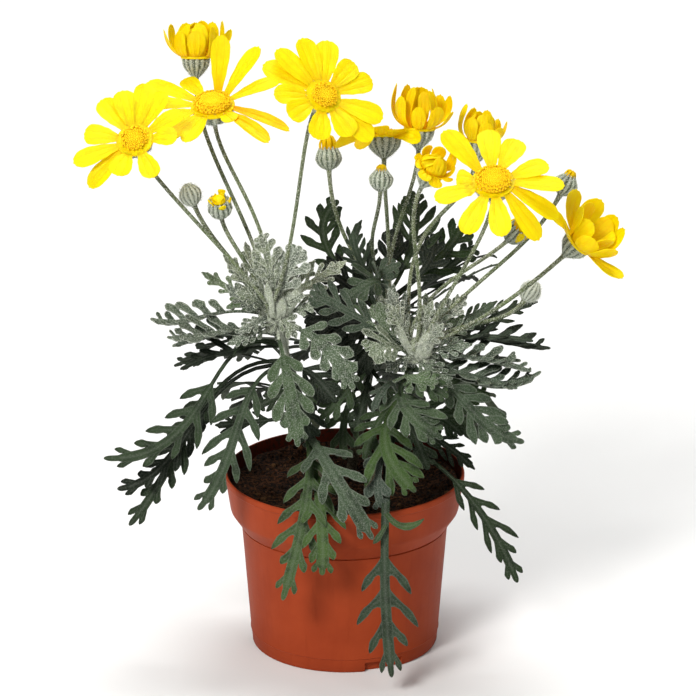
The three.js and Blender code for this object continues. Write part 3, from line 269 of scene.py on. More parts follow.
# Smaller leaves that fill the shoots between those, with the same values.
FILL_LEAVES = {
    "left": [
        dict(name="inner_low", height=150, via=[-16, -18, 148], tip=[-5, -24, 137],
             pairs=3, reach=7, wool=0.15),
        dict(name="inner_down", height=140, via=[-20, -20, 130], tip=[-16, -30, 114],
             pairs=3, reach=6, wool=0.2),
        dict(name="inner_side", height=142, via=[-30, -8, 135], tip=[-43, -6, 127],
             pairs=3, reach=5.5, wool=0.05),
        dict(name="rear_low", height=128, via=[-40, 20, 126], tip=[-56, 34, 104],
             pairs=4, reach=7, wool=0.1),
        dict(name="rear_mid", height=150, via=[-40, 18, 152], tip=[-48, 38, 138],
             pairs=4, reach=7, wool=0.15),
        dict(name="rear_high", height=168, via=[-46, 10, 176], tip=[-56, 24, 170],
             pairs=4, reach=6, wool=0.5),
        dict(name="felt_1", height=178, via=[-41, -18, 195], tip=[-44, -20, 208],
             pairs=3, reach=3.5, wool=0.9),
        dict(name="felt_2", height=178, via=[-30, -10, 193], tip=[-28, -8, 209],
             pairs=3, reach=4.5, wool=0.9),
        dict(name="felt_3", height=178, via=[-44, -22, 189], tip=[-53, -26, 194],
             pairs=3, reach=3.5, wool=0.8),
        dict(name="felt_4", height=177, via=[-43, -24, 178], tip=[-51, -28, 175],
             pairs=3, reach=3.5, wool=0.8),
        dict(name="felt_5", height=176, via=[-29, -22, 177], tip=[-24, -26, 171],
             pairs=2, reach=4, wool=0.85),
        dict(name="felt_6", height=178, via=[-27, -20, 188], tip=[-20, -22, 191],
             pairs=2, reach=3.5, wool=0.9),
        dict(name="felt_7", height=178, via=[-47, -16, 185], tip=[-58, -18, 195],
             pairs=4, reach=3.5, wool=0.8),
        dict(name="felt_8", height=178, via=[-47, -6, 190], tip=[-58, -4, 203],
             pairs=4, reach=4, wool=0.75),
        dict(name="felt_9", height=178, via=[-25, -12, 192], tip=[-15, -14, 206],
             pairs=3, reach=4.5, wool=0.8),
        dict(name="felt_10", height=176, via=[-24, -18, 182], tip=[-13, -22, 187],
             pairs=3, reach=4, wool=0.75),
        dict(name="felt_11", height=178, via=[-35, -18, 197], tip=[-34, -18, 212],
             pairs=3, reach=4.5, wool=0.85),
        dict(name="felt_12", height=174, via=[-45, -22, 172], tip=[-57, -28, 168],
             pairs=4, reach=4, wool=0.7),
        dict(name="gray_side_1", height=167, via=[-60, -14, 168], tip=[-84, -14, 162],
             pairs=4, reach=6, lobe=5, forward=0.8, face=FACE_SKY, fold=0.5, rib=2.6, wool=0.55, tone=0.1),
        dict(name="gray_side_2", height=160, via=[-57, -20, 161], tip=[-80, -22, 153],
             pairs=4, reach=6, lobe=5, forward=0.9, face=FACE_SKY, fold=0.4, rib=2.4, wool=0.15, tone=0.1),
        dict(name="arch_back", height=150, via=[-62, -10, 136], past=[-84, -18, 108], tip=[-111, -24, 90],
             pairs=5, reach=6, bare=0.45, fold=0.3, wool=0.05, tone=0.1),
    ],
    "right": [
        dict(name="felt_1", height=160, via=[26, -12, 174], tip=[24, -10, 192],
             pairs=2, reach=3, wool=0.7),
        dict(name="felt_2", height=160, via=[30, -6, 171], tip=[30, -2, 185],
             pairs=2, reach=3, wool=0.66),
        dict(name="felt_3", height=160, via=[39, -14, 175], tip=[40, -12, 188],
             pairs=2, reach=3.5, wool=0.7),
        dict(name="felt_4", height=160, via=[44, -10, 172], tip=[49, -6, 183],
             pairs=3, reach=4, wool=0.64),
        dict(name="felt_5", height=160, via=[49, 0, 168], tip=[56, 8, 180],
             pairs=3, reach=5, wool=0.5),
        dict(name="feather", height=158, via=[56, 2, 166], tip=[75, 10, 176],
             pairs=6, reach=4.5, wool=0.4),
        dict(name="felt_6", height=160, via=[51, -10, 166], tip=[67, -8, 173],
             pairs=4, reach=3.5, wool=0.6),
        dict(name="felt_7", height=158, via=[21, -18, 171], tip=[17, -14, 184],
             pairs=3, reach=6, wool=0.6),
        dict(name="felt_8", height=158, via=[28, -24, 158], tip=[21, -28, 154],
             pairs=2, reach=4, wool=0.7),
        dict(name="felt_9", height=158, via=[47, -22, 163], tip=[62, -24, 166],
             pairs=4, reach=4, wool=0.62),
        dict(name="felt_10", height=156, via=[41, -26, 155], tip=[53, -30, 146],
             pairs=4, reach=5, wool=0.6),
        dict(name="plum_hang", height=126, via=[17, -52, 112], tip=[18, -63, 97],
             pairs=2, reach=5.5, lobe=5, wool=0.4, tone=0),
        dict(name="inner_hang", height=140, via=[21, -38, 150], tip=[14, -46, 140],
             pairs=2, reach=5, wool=0.4),
        dict(name="inner_broad", height=146, via=[36, -38, 153], tip=[50, -42, 146],
             pairs=3, reach=6, wool=0.3),
        dict(name="low_1", height=132, via=[44, -12, 126], tip=[58, -16, 116],
             pairs=3, reach=6, wool=0.08),
        dict(name="low_2", height=122, via=[47, -10, 110], tip=[64, -14, 97],
             pairs=4, reach=5, wool=0.08),
        dict(name="low_3", height=128, via=[34, -22, 119], tip=[41, -34, 105],
             pairs=3, reach=7, wool=0.15),
        dict(name="gray_side_2", height=156, via=[56, -14, 156], tip=[86, -14, 154],
             pairs=4, reach=8, lobe=6, forward=0.8, face=FACE_SKY, fold=0.55, rib=2.6, wool=0.58, tone=0.1),
        dict(name="gray_side_3", height=157, via=[62, -20, 158], tip=[91, -20, 151],
             pairs=4, reach=7, lobe=5, forward=0.8, face=FACE_SKY, fold=0.5, rib=2.6, wool=0.55, tone=0.1),
        dict(name="gray_side_4", height=154, via=[58, -24, 151], tip=[84, -28, 145],
             pairs=4, reach=7, lobe=5, forward=0.9, face=FACE_SKY, fold=0.4, rib=2.6, wool=0.5, tone=0.15),
        dict(name="dark_side", height=158, via=[60, -8, 164], tip=[92, -10, 163],
             pairs=4, reach=6, lobe=4, forward=0.9, face=FACE_SKY, fold=0.5, wool=0.25, tone=0.1),
        dict(name="gray_side", height=152, via=[50, -16, 142], tip=[71, -14, 136],
             pairs=3, reach=6.5, wool=0.4),
    ],
    "back": [
        dict(name="dark_fan_1", height=165, via=[2, 12, 184], tip=[-11, 8, 194],
             pairs=3, reach=8, lobe=5, wool=0, tone=0),
        dict(name="dark_fan_2", height=160, via=[3, 6, 167], tip=[-19, -2, 170],
             pairs=3, reach=9, lobe=6, wool=0, tone=0),
        dict(name="dark_fan_3", height=156, via=[9, 8, 161], tip=[-4, 2, 154],
             pairs=3, reach=8, lobe=5, wool=0.05, tone=0.1),
        dict(name="dark_fan_4", height=150, via=[14, 4, 156], tip=[4, -6, 145],
             pairs=3, reach=8, lobe=5, wool=0.05, tone=0.1),
        dict(name="up_mid_1", height=172, via=[13, 20, 188], tip=[13, 20, 205],
             pairs=3, reach=4.5, up=True, wool=0.25),
        dict(name="up_mid_2", height=174, via=[8, 8, 198], tip=[4, 6, 214],
             pairs=4, reach=5, up=True, wool=0.3),
        dict(name="cross_left", height=172, via=[16, 0, 191], tip=[1, -8, 184],
             pairs=3, reach=8, lobe=5, fold=0.3, wool=0.4, tone=0.2),
        dict(name="up_mid_3", height=172, via=[23, 28, 191], tip=[24, 32, 206],
             pairs=3, reach=6, up=True, wool=0.1, tone=0),
        dict(name="up_mid_4", height=172, via=[40, 30, 187], tip=[44, 36, 202],
             pairs=3, reach=6, up=True, wool=0.15, tone=0),
        dict(name="back_side_1", height=168, via=[44, 34, 177], tip=[62, 44, 176],
             pairs=3, reach=6, wool=0.05, tone=0),
        dict(name="mid_down_1", height=145, via=[2, -16, 140], tip=[-11, -24, 128],
             pairs=3, reach=6, lobe=4, wool=0.25),
        dict(name="mid_down_2", height=140, via=[10, -14, 136], tip=[6, -24, 122],
             pairs=3, reach=6, wool=0.15),
        dict(name="mid_down_3", height=138, via=[24, -6, 130], tip=[30, -12, 119],
             pairs=3, reach=7, wool=0.1),
        dict(name="needle_1", height=160, via=[56, 56, 178], tip=[76, 72, 178],
             pairs=3, reach=3, wool=0.05, tone=0),
        dict(name="needle_2", height=158, via=[52, 50, 172], tip=[67, 66, 167],
             pairs=3, reach=3, wool=0.05, tone=0),
        dict(name="rear_9", height=162, via=[-4, 46, 166], tip=[-20, 66, 148],
             pairs=4, reach=7, wool=0.15),
        dict(name="rear_10", height=158, via=[26, 50, 158], tip=[32, 72, 138],
             pairs=4, reach=8, wool=0.15),
        dict(name="rear_11", height=145, via=[-10, 44, 142], tip=[-28, 60, 122],
             pairs=4, reach=8, wool=0.1),
        dict(name="rear_12", height=142, via=[40, 44, 138], tip=[54, 62, 114],
             pairs=4, reach=8, wool=0.1),
        dict(name="rear_13", height=170, via=[22, 42, 180], tip=[18, 58, 174],
             pairs=4, reach=6, wool=0.3),
        dict(name="rear_7", height=135, via=[24, 40, 126], tip=[38, 62, 99],
             pairs=4, reach=8, wool=0.1),
        dict(name="rear_8", height=138, via=[0, 36, 129], tip=[-13, 56, 104],
             pairs=4, reach=8, wool=0.1),
    ],
}

# Slim lobes that stand alone on a leaf's stalk, each with the points of its curve.
SINGLE_LOBES = {
    "left": [],
    "right": [dict(line=[[20.3, -72, 96], [25, -75, 89], [32, -78, 89], [38.8, -76, 94.7]], half=2, tone=1),
              dict(line=[[20.2, -72, 90], [17, -75, 84], [14, -77, 82]], half=1.5, tone=0.6)],
    "back": [],
}

# Woolly crowns: their middles, how far their fingers reach out and up, and larger leaves still
# folded, each with its foot, its tip and its half thickness.
CROWN_FELT = {
    "left": dict(at=[-33, -14, 174], count=46, out=8.5, rise=14,
                 folded=[[[-30, -15, 178], [-22, -21, 196], 2.6], [[-35, -16, 178], [-38, -20, 197], 2.2],
                         [[-32, -15, 175], [-30, -22, 190], 2.4], [[-32, -13, 173], [-27, -15, 141], 1.9],
                         [[-29, -11, 172], [-29, -14, 146], 1.8]]),
    "right": dict(at=[37, -18, 158], count=42, out=8.5, rise=10,
                  folded=[[[37, -20, 158], [42, -25, 173], 4], [[34, -18, 158], [26, -20, 176], 2.2],
                          [[38, -16, 160], [47, -16, 168], 2.2]]),
    "back": dict(at=[20, 21, 172], count=14, out=5, rise=8, folded=[]),
}

# Flower heads. at: middle of the head's base ring. toward: where the head looks, and rays: each ray's
# tip from that middle, both as right, up and away of a viewer in front and a little above.
# Two numbers for a ray leave its depth to the plane of the bloom. disc: radius of the disc, and
# small_disc: what share of it the florets fill. cupped: 1 where the rays bow up to a cup. turned: which rays
# show their backs. leaning: degrees by which a ray is turned about its length. warm: how orange the
# backs are, partly their own colour and partly painted shade glowing through the rays. inner, inner_tall,
# inner_lean: how many young rays lean over the disc, how tall they are and how far they lean in.
HEADS = [
    dict(name="a", stem="left", at=[-102.1, -14, 268.6], via=[-63, -13, 215],
         toward=[-0.16, 0.5, -0.85], disc=7, longest=32, width=10.5, cupped=0, small_disc=0.86,
         rays=[[-29.8, -11.4], [-22.5, -22.5], [-8.3, -17.7], [9.4, -18], [20.8, 1.6], [23, 14.2],
               [14.2, 23.7], [5.3, 28.8], [-6.6, 24.6], [-17.5, 20.6], [-25, 3]]),
    dict(name="b", stem="left", at=[-64.8, 16, 276.1], via=[-48, 6, 231],
         toward=[-0.08, 0.8, -0.6], disc=8.6, longest=40, width=9.5, cupped=0, turned=(3, 4),
         rays=[[4.5, 35, 4], [22.3, 30.8], [33, 13.5], [37.5, -11.5], [27.6, -18.8], [10, -7],
               [-12.6, -18.8], [-24, -17], [-33, 12], [-32, 2], [-14.5, 14], [-22, -6]]),
    dict(name="c", stem="left", at=[-73.7, 44, 292.2], via=[-59, 20, 236],
         toward=[0, 1, -0.1], disc=5.2, longest=25, width=8.5, cupped=1,
         inner=7, inner_tall=17, inner_lean=3,
         rays=[[-15.8, 13.3, -4], [-12.5, 18, 5], [-5, 17.5, 10], [-7.5, 14, -9], [0.5, 12.5, -11],
               [8.2, 16, -7], [13, 18, 2], [17.1, 15.5, 8], [8, 18, 11], [1.5, 17, 13]]),
    dict(name="d", stem="left", at=[-10.4, -18, 292.4], via=[-23, -14, 239],
         toward=[0.3, 0.4, -0.86], disc=6.6, longest=32, width=11.4, cupped=0, small_disc=0.88,
         rays=[[-10.4, 28.6], [2.2, 28.2], [14.9, 16.8], [24, 8.9], [28.8, -10.8], [24, -20.9],
               [13.3, -19.6], [-2.2, -20.9], [-16.8, -10.1], [-23.6, 1], [-29.4, 15.2], [-22.5, 23.1]]),
    dict(name="e", stem="back", at=[19.5, 18, 258.8], via=[21, 20, 218],
         toward=[0, 1, 0.1], disc=6.6, longest=27, width=9, cupped=1, warm=2.2, leaning={0: 40, 4: 55},
         rays=[[-24, -4, -7], [-12, -5, -17], [-2, 5, -17], [8, 5, -16], [17.5, -2.5, -19],
               [13, 4, 18], [4, 4, 22], [-9, 4, 20], [-20, 3, 9]]),
    dict(name="f", stem="back", at=[37, 15, 265], via=[29, 18, 221],
         toward=[0.05, 0.98, -0.2], disc=5.6, longest=26, width=7.4, cupped=1, warm=2.2,
         inner=8, inner_tall=19, inner_lean=2,
         rays=[[-11.4, 21.5, -3], [-6, 23, 7], [2.2, 20, 11], [10.4, 18, 9], [15, 15.8, 3],
               [16.2, 8.9, -6], [9, 9.5, -14], [-0.5, 11, -16], [-9, 15, -11]]),
    dict(name="g", stem="right", at=[66.6, 36, 250.7], via=[44, 26, 212],
         toward=[0.15, 0.98, -0.1], disc=4.8, longest=23, width=7, cupped=1, warm=1.5,
         inner=7, inner_tall=14, inner_lean=2,
         rays=[[-6, 18.5, -4], [-2, 18.5, 5], [4.5, 16, 9], [10, 13, 7], [14, 10, 1], [11, 8, -8],
               [4, 9, -11], [-3, 13, -10]]),
    dict(name="h", stem="right", at=[42.2, -22, 255.8], via=[35, -18, 211],
         toward=[0.45, 0.75, -0.5], disc=5, longest=15, width=7, cupped=1, warm=1.5,
         inner=13, inner_tall=8.5, inner_lean=6,
         rays=[[-8, 2, -4], [-7, 8.5, -1], [-1, 12, 1], [6, 12, 0], [11, 8, -1], [12, 2, -4],
               [9, -6, -6], [2, -8, -9], [-5, -5, -9]]),
    dict(name="i", stem="right", at=[72.2, -34, 253.7], via=[60, -26, 210],
         toward=[0, 0.66, -0.75], disc=8.2, longest=36, width=11.5, cupped=0,
         rays=[[-2.2, 26], [13, 21.8], [27, 8.5], [34.5, -1], [31.4, -17.5], [22, -27.5], [3.7, -27],
               [-14.2, -24.7], [-28.2, -9.2], [-18, 2], [-24, 25], [-15.5, -3]]),
    dict(name="j", stem="right", at=[114.8, -8, 213.6], via=[78, -12, 183],
         toward=[0.68, 0.62, -0.4], disc=5.6, longest=29, width=12, cupped=1,
         inner=6, inner_tall=16, inner_lean=-4,
         rays=[[-1, 26, 4], [12.3, 21.8, 6], [19.2, 12.1, 3], [23.4, 7, -4], [17.5, -4, -13],
               [22, -17, -8], [7, 1, -18], [-6, 9, -14], [-14, 14, -5]]),
]

# Buds. spread: how wide they have opened, which sets the petal tips that show; 0 shows none.
# warm: how orange the tips are. taller: how much longer they are. splay: how far the outer tips bend
# out of the mouth, and droop: how far every second one of these hangs over it.
BUDS = [
    dict(name="k", stem="back", at=[-7.7, 30, 238.7], via=[-2, 27, 210],
         toward=[-0.05, 1, 0], radius=6.2, spread=0.8, warm=3.4, taller=2.5),
    dict(name="l", stem="back", at=[17.6, -6, 239.8], via=[14, 8, 213],
         toward=[0.05, 1, -0.1], radius=5.6, spread=0.35),
    dict(name="m", stem="left", at=[-74, 4, 229], via=[-57, -2, 204],
         toward=[-0.35, 0.9, -0.1], radius=5.3, spread=0),
    dict(name="n", stem="left", at=[-60.5, -10, 228], via=[-50, -12, 207],
         toward=[-0.1, 0.75, -0.65], radius=5.8, spread=1, warm=0.6, splay=0.95, taller=-1.4, droop=0.7),
    dict(name="o", stem="right", at=[107, 26, 227], via=[78, 10, 197],
         toward=[0.45, 0.85, 0], radius=5.9, spread=0.45),
    dict(name="p", stem="right", at=[80.5, 4, 210.7], via=[51, -6, 192],
         toward=[0.6, 0.6, -0.5], radius=5.6, spread=1, warm=4, splay=1.1, taller=1, droop=1),
    dict(name="q", stem="right", at=[89, 4, 179], via=[67, -6, 171],
         toward=[0.55, 0.8, 0], radius=5, spread=0),
]


# Small helpers

def uneven(seed):
    """Unevenness between -1 and 1 that is the same in each run."""
    wave = math.sin(seed * 12.9898 + 4.137) * 43758.5453
    return 2 * (wave - math.floor(wave)) - 1


def clamp(value, low=0.0, high=1.0):
    return max(low, min(high, value))


def smooth(value):
    value = clamp(value)
    return value * value * (3 - 2 * value)


def blend(a, b, share):
    return a + (b - a) * share


def along_line(stops, place):
    """Value at a place on a line of (place, value) stops, eased between them."""
    if place <= stops[0][0]:
        return stops[0][1]
    for (low, a), (high, b) in zip(stops, stops[1:]):
        if place <= high:
            return blend(a, b, smooth((place - low) / (high - low)))
    return stops[-1][1]


TILT = math.radians(CAMERA_ELEVATION)
VIEW_UP = Vector((0, math.sin(TILT), math.cos(TILT)))
VIEW_AWAY = Vector((0, math.cos(TILT), -math.sin(TILT)))


def from_view(parts):
    """A direction given as right, up and away of a viewer in front and a little above."""
    right, up, away = parts
    return Vector((right, 0, 0)) + VIEW_UP * up + VIEW_AWAY * away


class Bend:
    """A smooth curve set by three or four control points."""

    def __init__(self, *controls):
        self.controls = [Vector(control) for control in controls]

    def point(self, share):
        row = self.controls
        while len(row) > 1:
            row = [a.lerp(b, share) for a, b in zip(row, row[1:])]
        return row[0]

    def tangent(self, share):
        row = [b - a for a, b in zip(self.controls, self.controls[1:])]
        while len(row) > 1:
            row = [a.lerp(b, share) for a, b in zip(row, row[1:])]
        return row[0].normalized()

    def length(self):
        spots = [self.point(i / 40) for i in range(41)]
        return sum((b - a).length for a, b in zip(spots, spots[1:]))


class Surface:
    """Points, faces, and numbers at each point that the materials read."""

    def __init__(self, *marks):
        self.points = []
        self.faces = []
        self.marks = {name: [] for name in marks}

    def add(self, point, **marks):
        self.points.append(Vector(point))
        for name, values in self.marks.items():
            values.append(marks.get(name, 0.0))
        return len(self.points) - 1

    def join(self, rows, closed=False, flip=False):
        """Faces between rows of points."""
        for low, high in zip(rows, rows[1:]):
            count = len(low)
            for k in range(count if closed else count - 1):
                n = (k + 1) % count
                face = (low[k], low[n], high[n], high[k])
                self.faces.append(face[::-1] if flip else face)

    def cap(self, row, middle, flip=False):
        """A fan of faces from a closed row to its middle."""
        for a, b in zip(row, row[1:] + row[:1]):
            self.faces.append((b, a, middle) if flip else (a, b, middle))

    def piece(self, name, nodes, material, sharp=SHARP_ANGLE):
        """Turns the surface into a piece of the scene that stands for these nodes."""
        mesh = bpy.data.meshes.new(name)
        mesh.from_pydata([point * MM for point in self.points], [], self.faces)
        mesh.validate()
        for mark, values in self.marks.items():
            layer = mesh.attributes.new(mark, "FLOAT", "POINT")
            layer.data.foreach_set("value", values)
        mesh.shade_smooth()
        mesh.set_sharp_from_angle(angle=math.radians(sharp))
        mesh.materials.append(material)
        made = bpy.data.objects.new(name, mesh)
        bpy.context.scene.collection.objects.link(made)
        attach(made, "root")
        if nodes:
            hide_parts(*nodes)
        return made


def add_blade(surface, spots, faces):
    """A thin closed blade. Each spot is its point, normal, half thickness and marks."""
    upper = [surface.add(p + n * half, **marks) for p, n, half, marks in spots]
    lower = [surface.add(p - n * half, **{**marks, "back": 1.0}) for p, n, half, marks in spots]
    edges = set()
    for face in faces:
        surface.faces.append(tuple(upper[i] for i in face))
        surface.faces.append(tuple(lower[i] for i in reversed(face)))
        edges.update(zip(face, face[1:] + face[:1]))
    for a, b in sorted(edges):
        if (b, a) not in edges:
            surface.faces.append((upper[a], lower[a], lower[b], upper[b]))


def grid_faces(rows, flip=False):
    faces = []
    for low, high in zip(rows, rows[1:]):
        for k in range(len(low) - 1):
            face = (low[k], low[k + 1], high[k + 1], high[k])
            faces.append(face[::-1] if flip else face)
    return faces


def add_tube(surface, spots, radii, sides, marks, ribs=0, rib_depth=0.0):
    """A round bar through spots, closed at both ends. marks gives the marks at a share."""
    rows = []
    across = Vector((0.13, 1, 0.07))
    steps = len(spots) - 1
    for i, spot in enumerate(spots):
        along = (spots[min(i + 1, steps)] - spots[max(i - 1, 0)]).normalized()
        across = (across - along * across.dot(along)).normalized()
        other = along.cross(across)
        row = []
        for k in range(sides):
            turn = 2 * math.pi * k / sides
            radius = radii[i] * (1 + rib_depth * math.cos(ribs * turn))
            out = across * (radius * math.cos(turn)) + other * (radius * math.sin(turn))
            row.append(surface.add(spot + out, **marks(i / steps)))
        rows.append(row)
    surface.join(rows, closed=True)
    surface.cap(rows[0], surface.add(spots[0], **marks(0)), flip=True)
    surface.cap(rows[-1], surface.add(spots[-1], **marks(1)))


def frame_of(at, toward):
    """Turns +Z to a direction and moves it to a point."""
    turn = UP.rotation_difference(toward).to_matrix().to_4x4()
    return Matrix.Translation(at) @ turn


def add_turned(surface, profile, sides, place, ribs=0, depth=None, teeth=None, marks=None):
    """A turned form. depth and teeth give ribs and a wavy height at a share of the profile."""
    rows = []
    steps = len(profile) - 1
    for i, (radius, height) in enumerate(profile):
        share = i / steps
        row = []
        for k in range(sides):
            turn = 2 * math.pi * k / sides
            wave = math.cos(ribs * turn)
            wide = radius * (1 + (depth(share) * wave if depth else 0))
            tall = height + (teeth(share) * wave if teeth else 0)
            spot = Vector((wide * math.cos(turn), wide * math.sin(turn), tall))
            row.append(surface.add(place @ spot, **(marks(share, wave) if marks else {})))
        rows.append(row)
    surface.join(rows, closed=True)
    low = place @ Vector((0, 0, profile[0][1]))
    high = place @ Vector((0, 0, profile[-1][1]))
    surface.cap(rows[0], surface.add(low, **(marks(0, 0) if marks else {})), flip=True)
    surface.cap(rows[-1], surface.add(high, **(marks(1, 0) if marks else {})))


def eased_spot(a, b, c, d, t):
    """A spot between b and c on a smooth line through four spots."""
    return 0.5 * (2 * b + (c - a) * t + (2 * a - 5 * b + 4 * c - d) * t * t
                  + (3 * b - a - 3 * c + d) * t * t * t)


def eased_profile(stops, steps):
    """Points on a smooth line through (radius, height) stops."""
    line = []
    last = len(stops) - 1
    for i in range(steps + 1):
        place = i / steps * last
        k = min(int(place), last - 1)
        t = place - k
        corners = [Vector(stops[clamp(k + j, 0, last)]) for j in (-1, 0, 1, 2)]
        spot = eased_spot(*corners, t)
        line.append((max(spot.x, 0.01), spot.y))
    return line


# Materials

def colour(red, green, blue):
    """A colour as seen on a screen, 0 to 255, as the shaders want it."""
    parts = []
    for value in (red, green, blue):
        value /= 255
        parts.append(value / 12.92 if value <= 0.04045 else ((value + 0.055) / 1.055) ** 2.4)
    return (*parts, 1)


class Paint:
    """One node material in the making. Lengths in its patterns are in metres."""

    def __init__(self, name, **fixed):
        self.material = bpy.data.materials.new(name)
        self.material.use_nodes = True
        self.nodes = self.material.node_tree.nodes
        self.links = self.material.node_tree.links
        self.shader = self.nodes["Principled BSDF"]
        self.place = self.nodes.new("ShaderNodeTexCoord").outputs["Object"]
        for socket, value in fixed.items():
            self.shader.inputs[socket.replace("_", " ")].default_value = value

    def feed(self, socket, value):
        if isinstance(value, bpy.types.NodeSocket):
            self.links.new(value, socket)
        else:
            socket.default_value = value

    def mark(self, name):
        node = self.nodes.new("ShaderNodeAttribute")
        node.attribute_name = name
        return node.outputs["Fac"]

    def noise(self, grain, detail=3.0, place=None, stretch=None, rough=0.55):
        """Cloudy pattern from 0 to 1 whose patches are about grain metres wide."""
        node = self.nodes.new("ShaderNodeTexNoise")
        node.inputs["Scale"].default_value = 1 / grain
        node.inputs["Detail"].default_value = detail
        node.inputs["Roughness"].default_value = rough
        spot = place if place is not None else self.place
        if stretch:
            scaler = self.nodes.new("ShaderNodeMapping")
            scaler.inputs["Scale"].default_value = stretch
            self.links.new(spot, scaler.inputs["Vector"])
            spot = scaler.outputs["Vector"]
        self.links.new(spot, node.inputs["Vector"])
        return node.outputs["Fac"]

    def vector(self, x, y, z):
        node = self.nodes.new("ShaderNodeCombineXYZ")
        for socket, value in zip(node.inputs, (x, y, z)):
            self.feed(socket, value)
        return node.outputs["Vector"]

    def math(self, operation, a, b=0.0, c=None, keep=False):
        node = self.nodes.new("ShaderNodeMath")
        node.operation = operation
        node.use_clamp = keep
        self.feed(node.inputs[0], a)
        self.feed(node.inputs[1], b)
        if c is not None:
            self.feed(node.inputs[2], c)
        return node.outputs[0]

    def between(self, value, low, high):
        """0 below low and 1 above high, eased."""
        node = self.nodes.new("ShaderNodeMapRange")
        node.interpolation_type = "SMOOTHSTEP"
        self.feed(node.inputs["Value"], value)
        node.inputs["From Min"].default_value = low
        node.inputs["From Max"].default_value = high
        return node.outputs["Result"]

    def mix(self, share, a, b):
        node = self.nodes.new("ShaderNodeMix")
        node.data_type = "RGBA"
        self.feed(node.inputs["Factor"], share)
        self.feed(node.inputs[6], a)
        self.feed(node.inputs[7], b)
        return node.outputs[2]

    def finish(self, base, rough, height, depth):
        """Sets the colour, the roughness and a bump of that depth in metres."""
        self.feed(self.shader.inputs["Base Color"], base)
        self.feed(self.shader.inputs["Roughness"], rough)
        bump = self.nodes.new("ShaderNodeBump")
        bump.inputs["Strength"].default_value = 1.0
        bump.inputs["Distance"].default_value = depth
        self.links.new(height, bump.inputs["Height"])
        self.links.new(bump.outputs["Normal"], self.shader.inputs["Normal"])
        return self.material


def leaf_paint():
    """Gray-green felted leaves: darker with age and with painted shade inside the plant, paler at the edges
    and along the ribs.
    """
    paint = Paint("leaf_felt", Specular_IOR_Level=0.06)
    wool, edge, vein = paint.mark("wool"), paint.mark("edge"), paint.mark("vein")
    tone, back, wood = paint.mark("tone"), paint.mark("back"), paint.mark("wood")
    felt = paint.noise(0.0006, 3.0, rough=0.7)
    patches = paint.noise(0.007, 3.0)
    # The near-black end, for leaves with little wool and tone, is partly the colour of old leaves and partly
    # painted shade deep in the plant.
    deep_and_shaded = paint.mix(tone, colour(10, 16, 10), colour(36, 56, 22))
    middle = paint.mix(tone, colour(58, 71, 59), colour(82, 108, 55))
    silver = paint.mix(tone, colour(112, 122, 110), colour(150, 160, 110))
    low = paint.mix(paint.between(wool, 0.0, 0.55), deep_and_shaded, middle)
    base = paint.mix(paint.between(wool, 0.5, 1.0), low, silver)
    mottle = paint.between(paint.noise(0.0022, 3.0), 0.46, 0.6)
    mottle = paint.math("MULTIPLY", mottle, paint.between(wool, 0.6, 0.95))
    base = paint.mix(paint.math("MULTIPLY", mottle, 0.6), base, colour(66, 75, 66))
    # Painted shade: the middles of woolly leaves, away from their edges, are darkened.
    inner = paint.math("SUBTRACT", 1.0, edge, keep=True)
    inner = paint.math("MULTIPLY", inner, paint.between(wool, 0.4, 0.8))
    base = paint.mix(paint.math("MULTIPLY", inner, 0.45), base, colour(66, 75, 66))
    # Painted shade: near-black patches at random stand for the dark gaps among the leaves.
    patch_shade = paint.math("MULTIPLY", paint.between(patches, 0.42, 0.7), 0.6)
    base = paint.mix(patch_shade, base, colour(18, 28, 16))
    rim = paint.math("MULTIPLY_ADD", paint.math("POWER", wool, 2.0), 0.75, 0.08)
    pale = paint.math("MULTIPLY", paint.math("POWER", edge, 3.0), rim)
    pale = paint.math("ADD", pale, paint.math("MULTIPLY", vein, 0.06))
    pale = paint.math("ADD", pale, paint.math("MULTIPLY", back, 0.05))
    speck = paint.math("MULTIPLY_ADD", paint.between(wool, 0.3, 0.9), 0.85, 0.06)
    speck = paint.math("MULTIPLY", paint.between(felt, 0.52, 0.6), speck)
    pale = paint.math("ADD", pale, speck, keep=True)
    base = paint.mix(paint.math("MULTIPLY", pale, 0.92), base, colour(212, 217, 204))
    shaded_rim = paint.math("SUBTRACT", 0.75, wool, keep=True)
    shaded_rim = paint.math("MULTIPLY", paint.math("POWER", edge, 6.0), shaded_rim)
    base = paint.mix(shaded_rim, base, colour(20, 30, 18))
    bark = paint.mix(paint.between(felt, 0.4, 0.65), colour(84, 74, 58), colour(134, 128, 108))
    base = paint.mix(wood, base, bark)
    rough = paint.math("MULTIPLY_ADD", felt, 0.25, 0.5)
    height = paint.math("ADD", felt, paint.math("MULTIPLY", paint.noise(0.0028), 0.8))
    return paint.finish(base, rough, height, 0.0004)


def wool_paint():
    """Fine pale hairs."""
    paint = Paint("wool_hair", Specular_IOR_Level=0.05)
    spots = paint.noise(0.004)
    base = paint.mix(paint.between(spots, 0.35, 0.65), colour(176, 182, 168), colour(226, 228, 214))
    rough = paint.math("MULTIPLY_ADD", spots, 0.2, 0.7)
    return paint.finish(base, rough, spots, 0.00005)


